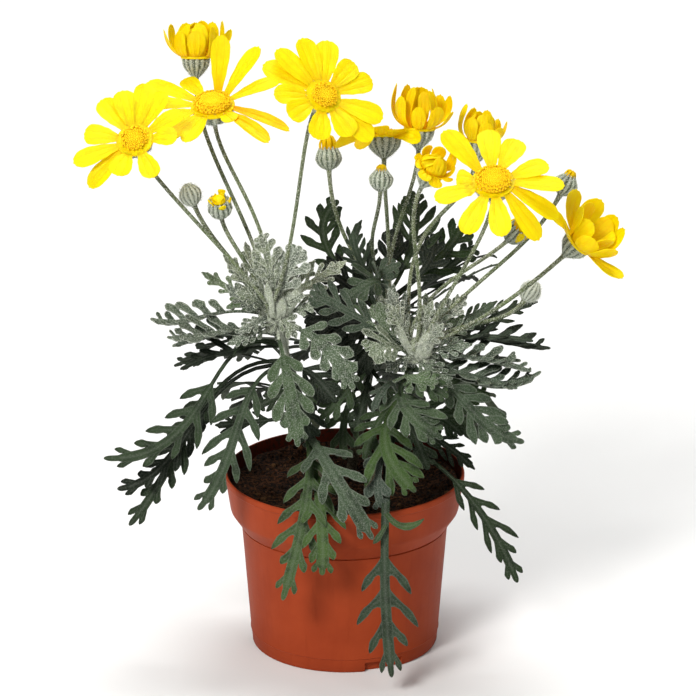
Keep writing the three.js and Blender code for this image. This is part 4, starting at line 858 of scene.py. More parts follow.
def petal_paint():
    """Clear yellow with fine lines along the ray, deeper at its root and on its back (partly painted shade),
    painted shade along its furrows and a faint painted glow.
    """
    # Painted glow: a faint orange emission lifts the shade of the rays, standing in for light that passes
    # through them.
    paint = Paint("ray_yellow", Specular_IOR_Level=0.12, Subsurface_Weight=0.5, Subsurface_Scale=0.003,
                  Subsurface_Radius=(1.0, 0.62, 0.05), Emission_Color=(0.9, 0.6, 0.0, 1.0),
                  Emission_Strength=0.09)
    across, along = paint.mark("across"), paint.mark("along")
    back, tone = paint.mark("back"), paint.mark("tone")
    lined = paint.vector(paint.math("MULTIPLY", across, 4.0), paint.math("MULTIPLY", along, 0.8), tone)
    streaks = paint.noise(0.28, 3.0, place=lined)
    clouds = paint.noise(0.006)
    bright = paint.mix(paint.between(clouds, 0.3, 0.7), colour(222, 192, 0), colour(230, 205, 0))
    # Painted shade: the rays are darkened along their two furrows.
    from_furrow = paint.math("ABSOLUTE", paint.math("SUBTRACT", paint.math("ABSOLUTE", across), FURROW_AT))
    furrow = paint.math("MULTIPLY", paint.between(from_furrow, 0.13, 0.0), 0.3)
    bright = paint.mix(furrow, bright, colour(224, 172, 0))
    # Deeper orange toward the root: partly the ray's own colour, partly painted shade where the rays overlap
    # at the disc.
    root = paint.between(along, 0.4, 0.0)
    base = paint.mix(paint.math("MULTIPLY", root, 0.45), bright, colour(222, 156, 0))
    dark_streaks = paint.math("MULTIPLY", paint.between(streaks, 0.55, 0.75), 0.4)
    base = paint.mix(dark_streaks, base, colour(222, 168, 0))
    # Orange on the backs and on warm heads: partly the rays' own colour, partly painted shade glowing through
    # them.
    lines = paint.math("MULTIPLY_ADD", paint.between(streaks, 0.5, 0.66), 0.26, 0.08)
    lines = paint.math("ADD", lines, paint.math("MULTIPLY", root, 0.22))
    base = paint.mix(paint.math("MULTIPLY", back, lines), base, colour(232, 150, 0))
    rough = paint.math("MULTIPLY_ADD", streaks, 0.2, 0.42)
    return paint.finish(base, rough, streaks, 0.00025)


def disc_paint():
    """Golden florets, darker at their feet with painted shade, with brown flecks toward the rim of the disc.
    """
    paint = Paint("disc_gold", Specular_IOR_Level=0.3)
    ripe, top = paint.mark("ripe"), paint.mark("top")
    grain = paint.noise(0.0008, 3.0)
    base = paint.mix(ripe, colour(246, 214, 4), colour(248, 208, 0))
    # Painted shade: the florets and the dome between them darken toward the florets' feet.
    feet = paint.math("MULTIPLY", paint.between(top, 0.4, 0.0), 0.35)
    base = paint.mix(feet, base, colour(214, 156, 0))
    flecks = paint.math("MULTIPLY", paint.between(paint.noise(0.0011, 2.0), 0.58, 0.64), ripe)
    base = paint.mix(paint.math("MULTIPLY", flecks, 0.55), base, colour(150, 88, 6))
    base = paint.mix(paint.math("MULTIPLY", paint.between(grain, 0.5, 0.7), 0.3), base, colour(246, 220, 20))
    rough = paint.math("MULTIPLY_ADD", grain, 0.2, 0.6)
    return paint.finish(base, rough, grain, 0.0002)


def pot_paint():
    """Terracotta coloured plastic with a satin skin, fine scuffs, soil dust near the top and painted shade
    inside.
    """
    paint = Paint("pot_plastic", Specular_IOR_Level=0.07)
    # inside marks the inner wall and floor, which get painted shade and soil dust.
    inside = paint.mark("inside")
    clouds = paint.noise(0.03, 4.0)
    flow = paint.noise(0.004, 4.0, stretch=(1, 1, 0.12))
    scuffs = paint.noise(0.0016, 5.0, stretch=(0.3, 0.3, 2.2), rough=0.7)
    dust = paint.noise(0.0022, 4.0, rough=0.7)
    base = paint.mix(paint.between(clouds, 0.3, 0.7), colour(143, 56, 28), colour(155, 63, 32))
    darker = paint.math("MULTIPLY", paint.between(flow, 0.5, 0.75), 0.25)
    base = paint.mix(darker, base, colour(120, 43, 20))
    scuffed = paint.math("MULTIPLY", paint.between(scuffs, 0.62, 0.78), 0.3)
    base = paint.mix(scuffed, base, colour(160, 76, 46))
    grime = paint.math("MULTIPLY", paint.between(dust, 0.5, 0.62), inside)
    # Painted shade: the inside of the pot is darkened; the plastic there has the same colour as outside.
    base = paint.mix(paint.math("MULTIPLY", inside, 0.85), base, colour(50, 16, 9))
    base = paint.mix(grime, base, colour(48, 30, 22))
    rough = paint.math("MULTIPLY_ADD", scuffs, 0.2, 0.42)
    height = paint.math("ADD", flow, paint.math("MULTIPLY", scuffs, 0.3))
    return paint.finish(base, rough, height, 0.00012)


def soil_paint():
    """Dark peaty soil with paler crumbs."""
    paint = Paint("peat", Specular_IOR_Level=0.15)
    pale, damp = paint.mark("pale"), paint.noise(0.02, 3.0)
    grain = paint.noise(0.0018, 6.0, rough=0.75)
    base = paint.mix(paint.between(grain, 0.44, 0.6), colour(6, 3, 1), colour(76, 46, 27))
    base = paint.mix(paint.math("MULTIPLY", paint.between(damp, 0.4, 0.7), 0.4), base, colour(16, 9, 5))
    base = paint.mix(pale, base, colour(96, 68, 42))
    rough = paint.math("MULTIPLY_ADD", grain, 0.1, 0.88)
    return paint.finish(base, rough, grain, 0.0012)


def floor_paint():
    paint = Paint("studio_floor", Specular_IOR_Level=0.1)
    clouds = paint.noise(0.4)
    base = paint.mix(clouds, colour(228, 228, 227), colour(231, 231, 230))
    return paint.finish(base, 0.9, clouds, 0.00001)


# Pot

def notch_share(angle, height):
    """1 inside a foot notch and 0 outside it, for an angle in degrees."""
    if height > NOTCH_HEIGHT:
        return 0
    for middle in NOTCH_ANGLES:
        away = abs((angle - middle + 180) % 360 - 180)
        if away <= NOTCH_HALF_ANGLE:
            return 1
    return 0


def pot_angles():
    """Even steps round the pot, with close pairs at the sides of each notch."""
    angles = [360 * k / POT_SIDES for k in range(POT_SIDES)]
    for middle in NOTCH_ANGLES:
        for side in (-1, 1):
            edge = (middle + side * NOTCH_HALF_ANGLE) % 360
            angles = [a for a in angles if abs((a - edge + 180) % 360 - 180) > 0.6]
            angles += [edge, (edge + side * CRISP) % 360]
    return sorted(angles)


def pot_profile():
    """The pot's outline from the middle of its underside, over the lip, to the middle of its floor."""
    outside = [
        (1, 1.1), (FOOT_RADIUS - 5, 1.1), (FOOT_RADIUS - 4.2, 0.2), (FOOT_RADIUS - 1.2, 0),
        (FOOT_RADIUS - 0.35, 0.3), (FOOT_RADIUS, 1.2), (FOOT_RADIUS + 0.28, NOTCH_HEIGHT),
        (FOOT_RADIUS + 0.29, NOTCH_HEIGHT + CRISP), (FOOT_RADIUS + 0.5, 7),
        (FOOT_RADIUS + 0.85, 7.4), (FOOT_RADIUS + 0.62, 8), (FOOT_RADIUS + 1.4, 18),
        (FOOT_RADIUS + 2.9, 37), (SHOULDER_RADIUS - 0.5, 57), (SHOULDER_RADIUS - 0.05, SHOULDER_FOOT - 1.3),
        (SHOULDER_RADIUS, SHOULDER_FOOT - 1), (SHOULDER_RADIUS - CREASE, SHOULDER_FOOT - 0.75),
        (SHOULDER_RADIUS - CREASE, SHOULDER_FOOT - 0.4), (SHOULDER_RADIUS + 0.3, SHOULDER_FOOT - 0.1),
        (SHOULDER_RADIUS + 0.7, SHOULDER_FOOT + 0.6), (SHOULDER_RADIUS + 2.6, SHOULDER_FOOT + 3.4),
        (COLLAR_RADIUS - 0.9, COLLAR_FOOT - 1.3), (COLLAR_RADIUS - 0.1, COLLAR_FOOT - 0.1),
        (COLLAR_RADIUS + 0.25, COLLAR_FOOT + 1), (COLLAR_RADIUS + 1.2, COLLAR_FOOT + 7),
        (RIM_RADIUS - 0.75, RIM_HEIGHT - 4.6), (RIM_RADIUS - 0.55, RIM_HEIGHT - 3.4),
        (RIM_RADIUS - 0.05, RIM_HEIGHT - 2.9), (RIM_RADIUS, RIM_HEIGHT - 1.2),
        (RIM_RADIUS - 0.25, RIM_HEIGHT - 0.35), (RIM_RADIUS - 0.8, RIM_HEIGHT),
    ]
    inside = [
        (RIM_RADIUS - 1.5, RIM_HEIGHT - 0.15), (RIM_RADIUS - WALL - 0.05, RIM_HEIGHT - 1),
        (RIM_RADIUS - WALL - 0.6, RIM_HEIGHT - 5), (COLLAR_RADIUS - WALL, COLLAR_FOOT + INNER_RISE),
        (SHOULDER_RADIUS - WALL, SHOULDER_FOOT + INNER_RISE), (FOOT_RADIUS - WALL + 1, 20),
        (FOOT_RADIUS - WALL - 3, BASE_THICK), (1, BASE_THICK),
    ]
    return outside + inside


def make_pot():
    surface = Surface("inside")
    angles = pot_angles()
    rows = []
    profile = pot_profile()
    lip = max(range(len(profile)), key=lambda i: profile[i][1])
    for i, (radius, height) in enumerate(profile):
        row = []
        for angle in angles:
            turn = math.radians(angle)
            wobble = 1 + POT_WOBBLE * math.sin(2 * turn + 0.6) * height / RIM_HEIGHT
            outer_foot = i < lip and radius > FOOT_RADIUS - 2
            wide = radius * wobble - (NOTCH_DEPTH if outer_foot and notch_share(angle, height) else 0)
            spot = (wide * math.cos(turn), wide * math.sin(turn), height)
            row.append(surface.add(spot, inside=1.0 if i > lip else 0.0))
        rows.append(row)
    surface.join(rows, closed=True)
    surface.cap(rows[0], surface.add((0, 0, profile[0][1])), flip=True)
    surface.cap(rows[-1], surface.add((0, 0, profile[-1][1]), inside=1.0))
    return surface.piece("pot_body", ["pot"], pot_paint(), sharp=32)


# Soil

def soil_height(x, y, edge):
    """Uneven top: lumps of several sizes, a little higher at the wall."""
    lumps = noise.noise(Vector((x * 0.06, y * 0.06, 1.3))) * 1.6
    small = noise.noise(Vector((x * 0.22, y * 0.22, 7.1))) * 1.1
    fine = abs(noise.noise(Vector((x * 0.7, y * 0.7, 3.7)))) * 1.1
    return SOIL_TOP + lumps + small + fine - 0.4 + SOIL_WALL_RISE * smooth((edge - 0.78) / 0.22)


def add_lump(surface, at, size, rng, pale):
    """An uneven crumb of six-sided rings."""
    rows = []
    squash = Vector((rng.uniform(0.7, 1.2), rng.uniform(0.6, 1.1), rng.uniform(0.5, 0.9)))
    turn = Matrix.Rotation(rng.uniform(0, 6.28), 3, "Z")
    for level in range(1, 4):
        tilt = math.pi * level / 4
        row = []
        for k in range(6):
            spin = 2 * math.pi * (k + 0.5 * level) / 6
            level_out = math.sin(tilt)
            out = Vector((level_out * math.cos(spin), level_out * math.sin(spin), math.cos(tilt)))
            out *= size * rng.uniform(0.75, 1.2)
            out = Vector((out.x * squash.x, out.y * squash.y, out.z * squash.z))
            row.append(surface.add(at + turn @ out, pale=pale))
        rows.append(row)
    surface.join(rows[::-1], closed=True)
    surface.cap(rows[-1], surface.add(at - UP * size * squash.z, pale=pale), flip=True)
    surface.cap(rows[0], surface.add(at + UP * size * squash.z, pale=pale))


def add_splinter(surface, at, length, thick, rng, pale):
    """A bent fibre or flat chip that lies on the soil."""
    heading = rng.uniform(0, 2 * math.pi)
    bend = rng.uniform(-1.2, 1.2)
    rise = rng.uniform(0.0, 0.25)
    spots = []
    spot = at.copy()
    for i in range(7):
        spots.append(spot.copy())
        step = length / 6
        heading += bend / 6
        spot += Vector((math.cos(heading), math.sin(heading), rise * (1 - i / 3))) * step
    radii = [thick * (0.5 + 0.5 * math.sin(math.pi * (0.12 + 0.76 * i / 6))) for i in range(7)]
    add_tube(surface, spots, radii, 4, lambda share: {"pale": pale})


def make_soil():
    rng = random.Random(7)
    surface = Surface("pale")
    inset = WALL + SOIL_EDGE_GAP
    up_the_collar = (SOIL_TOP - COLLAR_FOOT) / (RIM_HEIGHT - COLLAR_FOOT)
    rim = COLLAR_RADIUS - inset + (RIM_RADIUS - COLLAR_RADIUS) * up_the_collar
    rows = []
    for ring in range(1, SOIL_RINGS + 1):
        edge = ring / SOIL_RINGS
        row = []
        for k in range(SOIL_SIDES):
            turn = 2 * math.pi * k / SOIL_SIDES
            x, y = rim * edge * math.cos(turn), rim * edge * math.sin(turn)
            row.append(surface.add((x, y, soil_height(x, y, edge))))
        rows.append(row)
    side = [(COLLAR_RADIUS - inset, COLLAR_FOOT + 1), (SHOULDER_RADIUS - inset, SHOULDER_FOOT + 1),
            (FOOT_RADIUS - inset, 7), (FOOT_RADIUS - inset - 3, SOIL_FOOT)]
    for radius, height in side:
        row = []
        for k in range(SOIL_SIDES):
            turn = 2 * math.pi * k / SOIL_SIDES
            row.append(surface.add((radius * math.cos(turn), radius * math.sin(turn), height)))
        rows.append(row)
    surface.join(rows, closed=True, flip=True)
    surface.cap(rows[0], surface.add((0, 0, soil_height(0, 0, 0))))
    surface.cap(rows[-1], surface.add((0, 0, SOIL_FOOT)), flip=True)
    for _ in range(CRUMBS):
        out = rim * 0.97 * math.sqrt(rng.random())
        turn = rng.uniform(0, 2 * math.pi)
        x, y = out * math.cos(turn), out * math.sin(turn)
        size = 0.5 + 1.5 * rng.random() ** 2.5
        at = Vector((x, y, soil_height(x, y, out / rim) + 0.25 * size))
        pale = 0.8 if rng.random() < PALE_CRUMB_SHARE else 0.16 * rng.random()
        add_lump(surface, at, size, rng, pale)
    for i in range(CHIPS + FIBRES):
        out = rim * 0.93 * math.sqrt(rng.random())
        turn = rng.uniform(0, 2 * math.pi)
        x, y = out * math.cos(turn), out * math.sin(turn)
        at = Vector((x, y, soil_height(x, y, out / rim) + 0.5))
        if i < CHIPS:
            length, thick, pale = rng.uniform(2, 5), rng.uniform(0.35, 0.7), rng.uniform(0.02, 0.3)
        else:
            length, thick, pale = rng.uniform(4, 11), rng.uniform(0.12, 0.2), rng.uniform(0.25, 0.9)
        add_splinter(surface, at, length, thick, rng, pale)
    return surface.piece("soil_bed", ["soil"], soil_paint(), sharp=75)


# Leaves

def stem_point(stem, height):
    line = STEMS[stem]
    for low, high in zip(line, line[1:]):
        if height <= high[2]:
            return Vector(low).lerp(Vector(high), (height - low[2]) / (high[2] - low[2]))
    return Vector(line[-1])


def curve_through(start, middle, end):
    """A curve that passes the middle point halfway."""
    return Bend(start, middle * 2 - start * 0.5 - end * 0.5, end)


def curve_through_two(start, first, second, end):
    """A curve that passes two points at a third and two thirds."""
    rise = first * 3 - second * 1.5 - start * (5 / 6) + end / 3
    fall = second * 3 - first * 1.5 - end * (5 / 6) + start / 3
    return Bend(start, rise, fall, end)


class LeafSheet:
    """The flat sheet of a leaf, laid out along its curve before it is thickened."""

    def __init__(self, curve, face, **marks):
        self.curve = curve
        self.size = curve.length()
        self.face = Vector(face)
        self.marks = marks
        self.spots = []
        self.faces = []
        self.frames = {}

    def frame(self, share):
        if share not in self.frames:
            along = self.curve.tangent(min(share, 1.0))
            normal = (self.face - along * self.face.dot(along)).normalized()
            self.frames[share] = (self.curve.point(share), along, normal, along.cross(normal))
        return self.frames[share]

    def put(self, share, sideways, forward, off, edge, vein):
        """Adds a spot to the side of the curve, along it and off its face, in millimetres."""
        point, along, normal, side = self.frame(share)
        spot = point + side * sideways + along * forward + normal * off
        half = blend(LEAF_MIDDLE_HALF, LEAF_EDGE_HALF, edge)
        self.spots.append((spot, normal, half, {**self.marks, "edge": edge, "vein": vein}))
        return len(self.spots) - 1

    def lobe(self, foot, share, hand, reach, ahead, half, lift, start, tooth, point):
        """A lobe that grows from five spots of the rib's edge.

        point: 0 for a round end, 1 for a pointed one.
        """
        begin = Vector((start, 0))
        end = Vector((reach, ahead)) * (1 + 0.06 * point)
        pull = Vector((blend(start, end.x, 0.55), end.y * 0.3))
        line = Bend(begin, pull, end)
        length = max((end - begin).length, 0.5)
        round_from = 1 - min(0.5, half / length)
        rows = [foot]
        feet = [self.flat_place(index, share, hand) for index in foot]
        for v in LOBE_STATIONS:
            middle = line.point(v)
            run = line.tangent(v)
            across = Vector((-run.y, run.x))
            blunt = along_line(BLUNT_LOBE, v)
            if v > round_from:
                past = (v - round_from) / (1 - round_from)
                blunt *= math.sqrt(max(0.02, 1 - past * past))
            wide = half * blend(blunt, along_line(POINTED_LOBE, v), point)
            merge = 1 - smooth(v / 0.42)
            row = []
            for k, u in enumerate(COLUMNS):
                bump = 1 + (tooth * math.exp(-((v - 0.62) / 0.11) ** 2) if u < -0.2 else 0)
                bump += 0.7 * tooth * math.exp(-((v - 0.8) / 0.09) ** 2) if u > 0.2 else 0
                place = middle + across * (wide * u * bump)
                place = place.lerp(feet[k], merge)
                edge = max(abs(u) ** 2, smooth((v - 0.9) / 0.1))
                curve_in = half * (v ** 2) * (abs(u) - 0.4) * 0.3
                off = lift * v + curve_in - (0.2 if k == 2 else 0)
                vein = (1.0 if k == 2 else 0.0) * (1 - 0.8 * v)
                row.append(self.put(share, hand * place.x, place.y, off, edge, vein))
            rows.append(row)
        self.faces += grid_faces(rows, flip=hand > 0)

    def flat_place(self, index, share, hand):
        """Where a spot lies in the plane of the leaf, seen from a place on its rib."""
        point, along, normal, side = self.frame(share)
        away = self.spots[index][0] - point
        return Vector((hand * away.dot(side), away.dot(along)))


def leaf_wool(leaf):
    """How woolly and pale a leaf is: old low leaves little, young ones at the crown all over."""
    if "wool" in leaf:
        return leaf["wool"]
    if leaf["name"].startswith("young"):
        return 0.95
    if leaf.get("up"):
        return 0.3
    # Leaves low in the plant get less wool and so a darker colour: partly age, partly painted shade.
    return clamp(0.12 + 0.45 * (leaf["height"] - 112) / 66)


def add_leaf(surface, stem, leaf, seed):
    """A leaf cut into blunt lobes: a rib that widens, pairs of lobes leaning forward, a tip of three."""
    middle = stem_point(stem, leaf["height"])
    via, tip = Vector(leaf["via"]), Vector(leaf["tip"])
    start = middle + (via - middle).normalized() * LEAF_ROOT
    if "past" in leaf:
        curve = curve_through_two(start, via, Vector(leaf["past"]), tip)
    else:
        curve = curve_through(start, via, tip)
    if leaf.get("up"):
        usual = FACE_UPRIGHT
    else:
        usual = FACE_BACK if leaf["tip"][1] > FACE_BEHIND else FACE_FRONT
    tone = 0.35 + 0.3 * uneven(seed * 5.3 + len(stem))
    tone = leaf.get("tone", tone)
    sheet = LeafSheet(curve, leaf.get("face", usual), wool=leaf_wool(leaf), tone=tone)
    bare, pairs, reach_most = leaf.get("bare", LEAF_BARE), leaf["pairs"], leaf["reach"]
    fold = leaf.get("fold", 0)
    pitch = (LEAF_LOBED - bare) / pairs
    pointed = reach_most <= SMALL_REACH
    point = 0.95 * smooth((0.62 - leaf_wool(leaf)) / 0.3)

    rib = leaf.get("rib", min(RIB_HALF, RIB_LEAST + RIB_SHARE * reach_most))
    stalk = leaf.get("stalk", LEAF_STALK_HALF)

    def rail(share):
        grown = max(0, (share - bare) / (LEAF_LOBED - bare))
        wide = stalk + (rib - stalk) * math.sqrt(grown)
        wide *= 1 + 0.9 * math.exp(-share / 0.03)
        narrow = smooth((share - 0.94) / 0.03)
        return blend(wide, TIP_HALF, narrow)

    def rib_row(share, wide):
        row = []
        for u in COLUMNS:
            off = -0.28 if u == 0 else 0.1 * abs(u)
            vein = 1.0 if u == 0 else 0.25 * (1 - abs(u))
            edge = abs(u) ** 2 * 0.8 * smooth((share - bare) / 0.1)
            row.append(sheet.put(share, wide * u, 0, off, edge, vein))
        return row

    shares = [bare * i / 7 for i in range(7)]
    feet = []
    for k in range(pairs):
        low = bare + pitch * k
        feet.append(len(shares))
        shares += [low + pitch * LOBE_FOOT * i / 4 for i in range(4)]
        shares += [low + pitch * (LOBE_FOOT + (1 - LOBE_FOOT) * i / 3) for i in range(3)]
    tip_foot = len(shares)
    shares += [LEAF_LOBED + 0.009 * i for i in range(5)]
    rows = [rib_row(share, rail(share)) for share in shares]
    end_reach = 0.6 + 0.012 * sheet.size
    for v in (0.2, 0.4, 0.6, 0.75, 0.88, 0.96, 1.0):
        wide = 1.55 * (1 if v < 0.5 else math.sqrt(max(0.03, 1 - ((v - 0.5) / 0.5) ** 2)))
        if pointed:
            wide = 1.3 * (1 - 0.75 * v)
        row = []
        for u in COLUMNS:
            share = blend(shares[-1], 1.0, v)
            edge = max(abs(u) ** 2, smooth((v - 0.8) / 0.2))
            row.append(sheet.put(share, wide * u, end_reach * v, 0.1 * abs(u), edge, 0.6 * (u == 0)))
        rows.append(row)
    sheet.faces += grid_faces(rows)

    half = min(leaf.get("lobe", LOBE_TIP), pitch * sheet.size * 0.58) / 2
    for k in range(pairs):
        foot = feet[k]
        share = (shares[foot] + shares[foot + 4]) / 2
        place = (k + 0.5) / pairs
        swell = 0.55 + 0.9 * math.sin(math.pi * (0.12 + 0.78 * place)) - 0.45 * place
        for hand in (-1, 1):
            reach = reach_most * swell * (1 + LOBE_UNEVEN * uneven(seed * 31 + k * 7 + hand * 3))
            lift = (fold + LOBE_LIFT * uneven(seed * 17 + k * 5 + hand)) * reach
            spots = [rows[foot + i][0 if hand < 0 else 4] for i in range(5)]
            tooth = 0.8 * max(0, uneven(seed * 3 + k * 11 + hand)) * (1 - point) if reach > 5 else 0
            width = min(half, 1.1) if pointed else half
            ahead = reach * leaf.get("forward", LOBE_FORWARD) * (1 + 0.2 * uneven(seed * 13 + k * 5 + hand))
            sheet.lobe(spots, share, hand, reach, ahead, width, lift, rail(share), tooth, point)
    if not pointed:
        spread = min(4.1, 0.9 + reach_most * 0.36)
        share = shares[tip_foot + 2]
        for hand in (-1, 1):
            spots = [rows[tip_foot + i][0 if hand < 0 else 4] for i in range(5)]
            ahead = (0.955 - share + 0.03) * sheet.size
            lift = fold * spread
            sheet.lobe(spots, share, hand, spread + 0.4, ahead, TIP_HALF, lift, rail(share), 0, point)
    add_blade(surface, sheet.spots, sheet.faces)


def add_single_lobe(surface, lobe):
    """A slim lobe by itself, pointed at both ends."""
    curve = Bend(*lobe["line"])
    sheet = LeafSheet(curve, FACE_FRONT, wool=0.2, tone=lobe["tone"])
    rows = []
    for share in (0,) + LOBE_STATIONS:
        wide = lobe["half"] * along_line(POINTED_LOBE, share)
        rows.append([sheet.put(share, wide * u, 0, 0.3 * abs(u), u * u, float(u == 0)) for u in COLUMNS])
    sheet.faces += grid_faces(rows)
    add_blade(surface, sheet.spots, sheet.faces)


# Stems, stalks, cups and buds

def add_stem(surface, stem):
    line = [Vector(spot) for spot in STEMS[stem]]
    padded = [line[0] * 2 - line[1]] + line + [line[-1] * 2 - line[-2]]
    spots = []
    for corners in zip(padded, padded[1:], padded[2:], padded[3:]):
        spots += [eased_spot(*corners, i / 9) for i in range(9)]
    spots.append(line[-1])
    radii = []
    for i in range(len(spots)):
        share = i / (len(spots) - 1)
        scar = 0.12 * max(0, math.sin(i * 2.1)) ** 3
        radii.append(blend(STEM_RADIUS, STEM_TOP_RADIUS, smooth(share)) * (1 + scar))

    def marks(share):
        return {"wool": share, "wood": 1 - smooth((share - 0.3) / 0.5)}

    add_tube(surface, spots, radii, 14, marks)
    crown = line[-1]
    profile = eased_profile([(0.2, -5), (3, -4), (5, 0), (4.2, 3.4), (2, 5.4), (0.2, 6)], 24)
    add_turned(surface, profile, 36, Matrix.Translation(crown), ribs=7,
               depth=lambda share: 0.1, marks=lambda share, wave: {"wool": 1.0, "tone": 0.6, "edge": 0.4})


def add_finger(surface, start, tip, thick, pale):
    """A woolly finger: a young lobe that is still folded up. pale: how white its foot is."""
    reach = (tip - start).length
    curve = Bend(start, start.lerp(tip, 0.5) - UP * (0.12 * reach), tip)
    steps = 7
    spots = [curve.point(i / steps) for i in range(steps + 1)]
    radii = []
    for i in range(steps + 1):
        share = i / steps
        round_end = math.sqrt(max(0.06, 1 - clamp((share - 0.6) / 0.4) ** 2))
        radii.append(thick * (0.7 + 0.4 * share) * round_end)

    def marks(share):
        return {"wool": 1.0, "tone": 0.6, "edge": blend(pale, 0.7, share)}

    add_tube(surface, spots, radii, 9, marks, ribs=3, rib_depth=0.16)


def add_crown_felt(surface, stem):
    """Woolly fingers all round the top of a shoot, and its larger folded leaves."""
    crown = CROWN_FELT[stem]
    middle = Vector(crown["at"])
    for i in range(crown["count"]):
        turn = GOLDEN_TURN * i
        rise = math.radians(blend(-30, 85, (i + 0.5) / crown["count"]))
        level = math.cos(rise)
        way = Vector((math.cos(turn) * level, math.sin(turn) * level, math.sin(rise)))
        far = 1 + 0.25 * uneven(i * 3.7 + len(stem))
        tip = middle + Vector((way.x * crown["out"], way.y * crown["out"], way.z * crown["rise"])) * far
        thick, pale = 1.05 + 0.3 * uneven(i * 1.9), 0.7 + 0.3 * uneven(i * 5.1)
        add_finger(surface, middle + way * 1.5, tip, thick, pale)
    for start, tip, thick in crown["folded"]:
        add_finger(surface, Vector(start), Vector(tip), thick, 0.9)


def stalk_starts(stem):
    """Where each stalk of a shoot starts: evenly round the crown, in the order in which they lean."""
    crown = Vector(STEMS[stem][-1])
    heads = [head for head in HEADS + BUDS if head["stem"] == stem]
    lean = {}
    for head in heads:
        lean[head["name"]] = math.atan2(head["via"][1] - crown.y, head["via"][0] - crown.x)
    heads.sort(key=lambda head: lean[head["name"]])
    starts = {}
    for i, head in enumerate(heads):
        turn = lean[heads[0]["name"]] + 2 * math.pi * i / len(heads)
        starts[head["name"]] = crown + Vector((math.cos(turn), math.sin(turn), 0)) * CROWN_RING
    return starts


def add_stalk(surface, start, head, base, toward):
    """A stalk that bends once and meets its head in line."""
    under = base - toward * (STALK_STRAIGHT * (base - start).length)
    rise = (Vector(head["via"]) * 8 - start - base - under * 3) / 3
    curve = Bend(start, rise, under, base)
    steps = 40
    spots = [curve.point(i / steps) for i in range(steps + 1)]
    radii = []
    for i in range(steps + 1):
        share = i / steps
        swell = 1 + 0.15 * share + 0.5 * math.exp(-(1 - share) / 0.025) + 0.35 * math.exp(-share / 0.05)
        radii.append(STALK_RADIUS * STALK_THINNER * swell)

    def marks(share):
        return {"wool": 0.66 + 0.24 * abs(2 * share - 1), "tone": 0.9, "edge": 0.1, "wood": 0.12}

    add_tube(surface, spots, radii, STALK_SIDES, marks, ribs=6, rib_depth=0.07)


def add_cup(surface, rim, place):
    """Bracts joined into a ribbed cup with short teeth round its rim."""
    h = CUP_HEIGHT
    stops = [(0.3, -h - 0.1), (1.6, -h), (rim * 0.56, -h * 0.76), (rim * 0.88, -h * 0.46),
             (rim * 0.99, -h * 0.2), (rim, -0.35), (rim * 0.93, 0.15), (rim * 0.8, -0.4), (rim * 0.3, -0.5)]
    profile = eased_profile(stops, 26)

    def teeth(share):
        return 0.85 * math.exp(-((share - 0.72) / 0.11) ** 2)

    def ridge(share):
        return 0.05 * smooth(share / 0.25)

    def marks(share, wave):
        return {"wool": 0.95 if wave > -0.7 else 0.5, "edge": 0.85 if wave > 0.2 else 0.5,
                "tone": 0.35 + 0.2 * wave}

    add_turned(surface, profile, CUP_RIB_COUNT * 6, place, CUP_RIB_COUNT, ridge, teeth, marks)


def add_bud(surface, bud, place):
    """A ribbed egg of bracts, closed or with a mouth where petal tips show."""
    r, h, spread = bud["radius"], BUD_HEIGHT, bud["spread"]
    mouth = r * (0.25 + 0.6 * spread)
    wool = 1.1 if spread == 0 else 0.86
    groove = 0.58 if spread == 0 else 0.45
    stops = [(0.3, -0.1), (1.5, 0), (r * 0.7, h * 0.15), (r, h * 0.42)]
    if spread > 0:
        top = h * BUD_CUT
        stops += [(r * 0.97, h * 0.66), (mouth, top), (mouth * 0.9, top + 0.1), (mouth * 0.8, top - 0.8),
                  (mouth * 0.3, top - 1)]
        tooth, tooth_at = 0.9, 0.68
    else:
        stops += [(r * 0.95, h * 0.68), (r * 0.55, h * 0.92), (r * 0.16, h * 0.99), (0.2, h * 0.93)]
        tooth, tooth_at = 0.5, 0.85

    def teeth(share):
        return tooth * math.exp(-((share - tooth_at) / 0.1) ** 2)

    def ridge(share):
        return 0.06 * smooth(share / 0.2)

    def marks(share, wave):
        return {"wool": wool if wave > -0.7 else groove, "edge": wool if wave > -0.3 else 0.6 * wool,
                "tone": 0.4 + 0.2 * wave}

    add_turned(surface, eased_profile(stops, 28), BUD_RIBS * 6, place, BUD_RIBS, ridge, teeth, marks)


def head_facts(head):
    """The middle of a head's base ring, where it looks, and the radius of its hub."""
    middle = Vector(head["at"])
    toward = from_view(head["toward"]).normalized()
    return middle, toward, head["disc"] + HUB_REACH


SHOOT_MARKS = ("wool", "edge", "vein", "tone", "back", "wood")


def make_shoot(stem, paint):
    surface = Surface(*SHOOT_MARKS)
    add_stem(surface, stem)
    add_crown_felt(surface, stem)
    starts = stalk_starts(stem)
    for seed, leaf in enumerate(LEAVES[stem] + FILL_LEAVES[stem], 1):
        add_leaf(surface, stem, leaf, seed)
    for lobe in SINGLE_LOBES[stem]:
        add_single_lobe(surface, lobe)
    for head in HEADS:
        if head["stem"] == stem:
            middle, toward, hub = head_facts(head)
            base = middle + toward * (STALK_SUNK - CUP_HEIGHT)
            add_stalk(surface, starts[head["name"]], head, base, toward)
            add_cup(surface, hub - CUP_INSET, frame_of(middle, toward))
    for bud in BUDS:
        if bud["stem"] == stem:
            base = Vector(bud["at"])
            toward = from_view(bud["toward"]).normalized()
            add_stalk(surface, starts[bud["name"]], bud, base + toward * STALK_SUNK, toward)
            add_bud(surface, bud, frame_of(base, toward))
    surface.piece("shoot_" + stem + "_green", ["shoot_" + stem], paint)
    return surface


# Wool

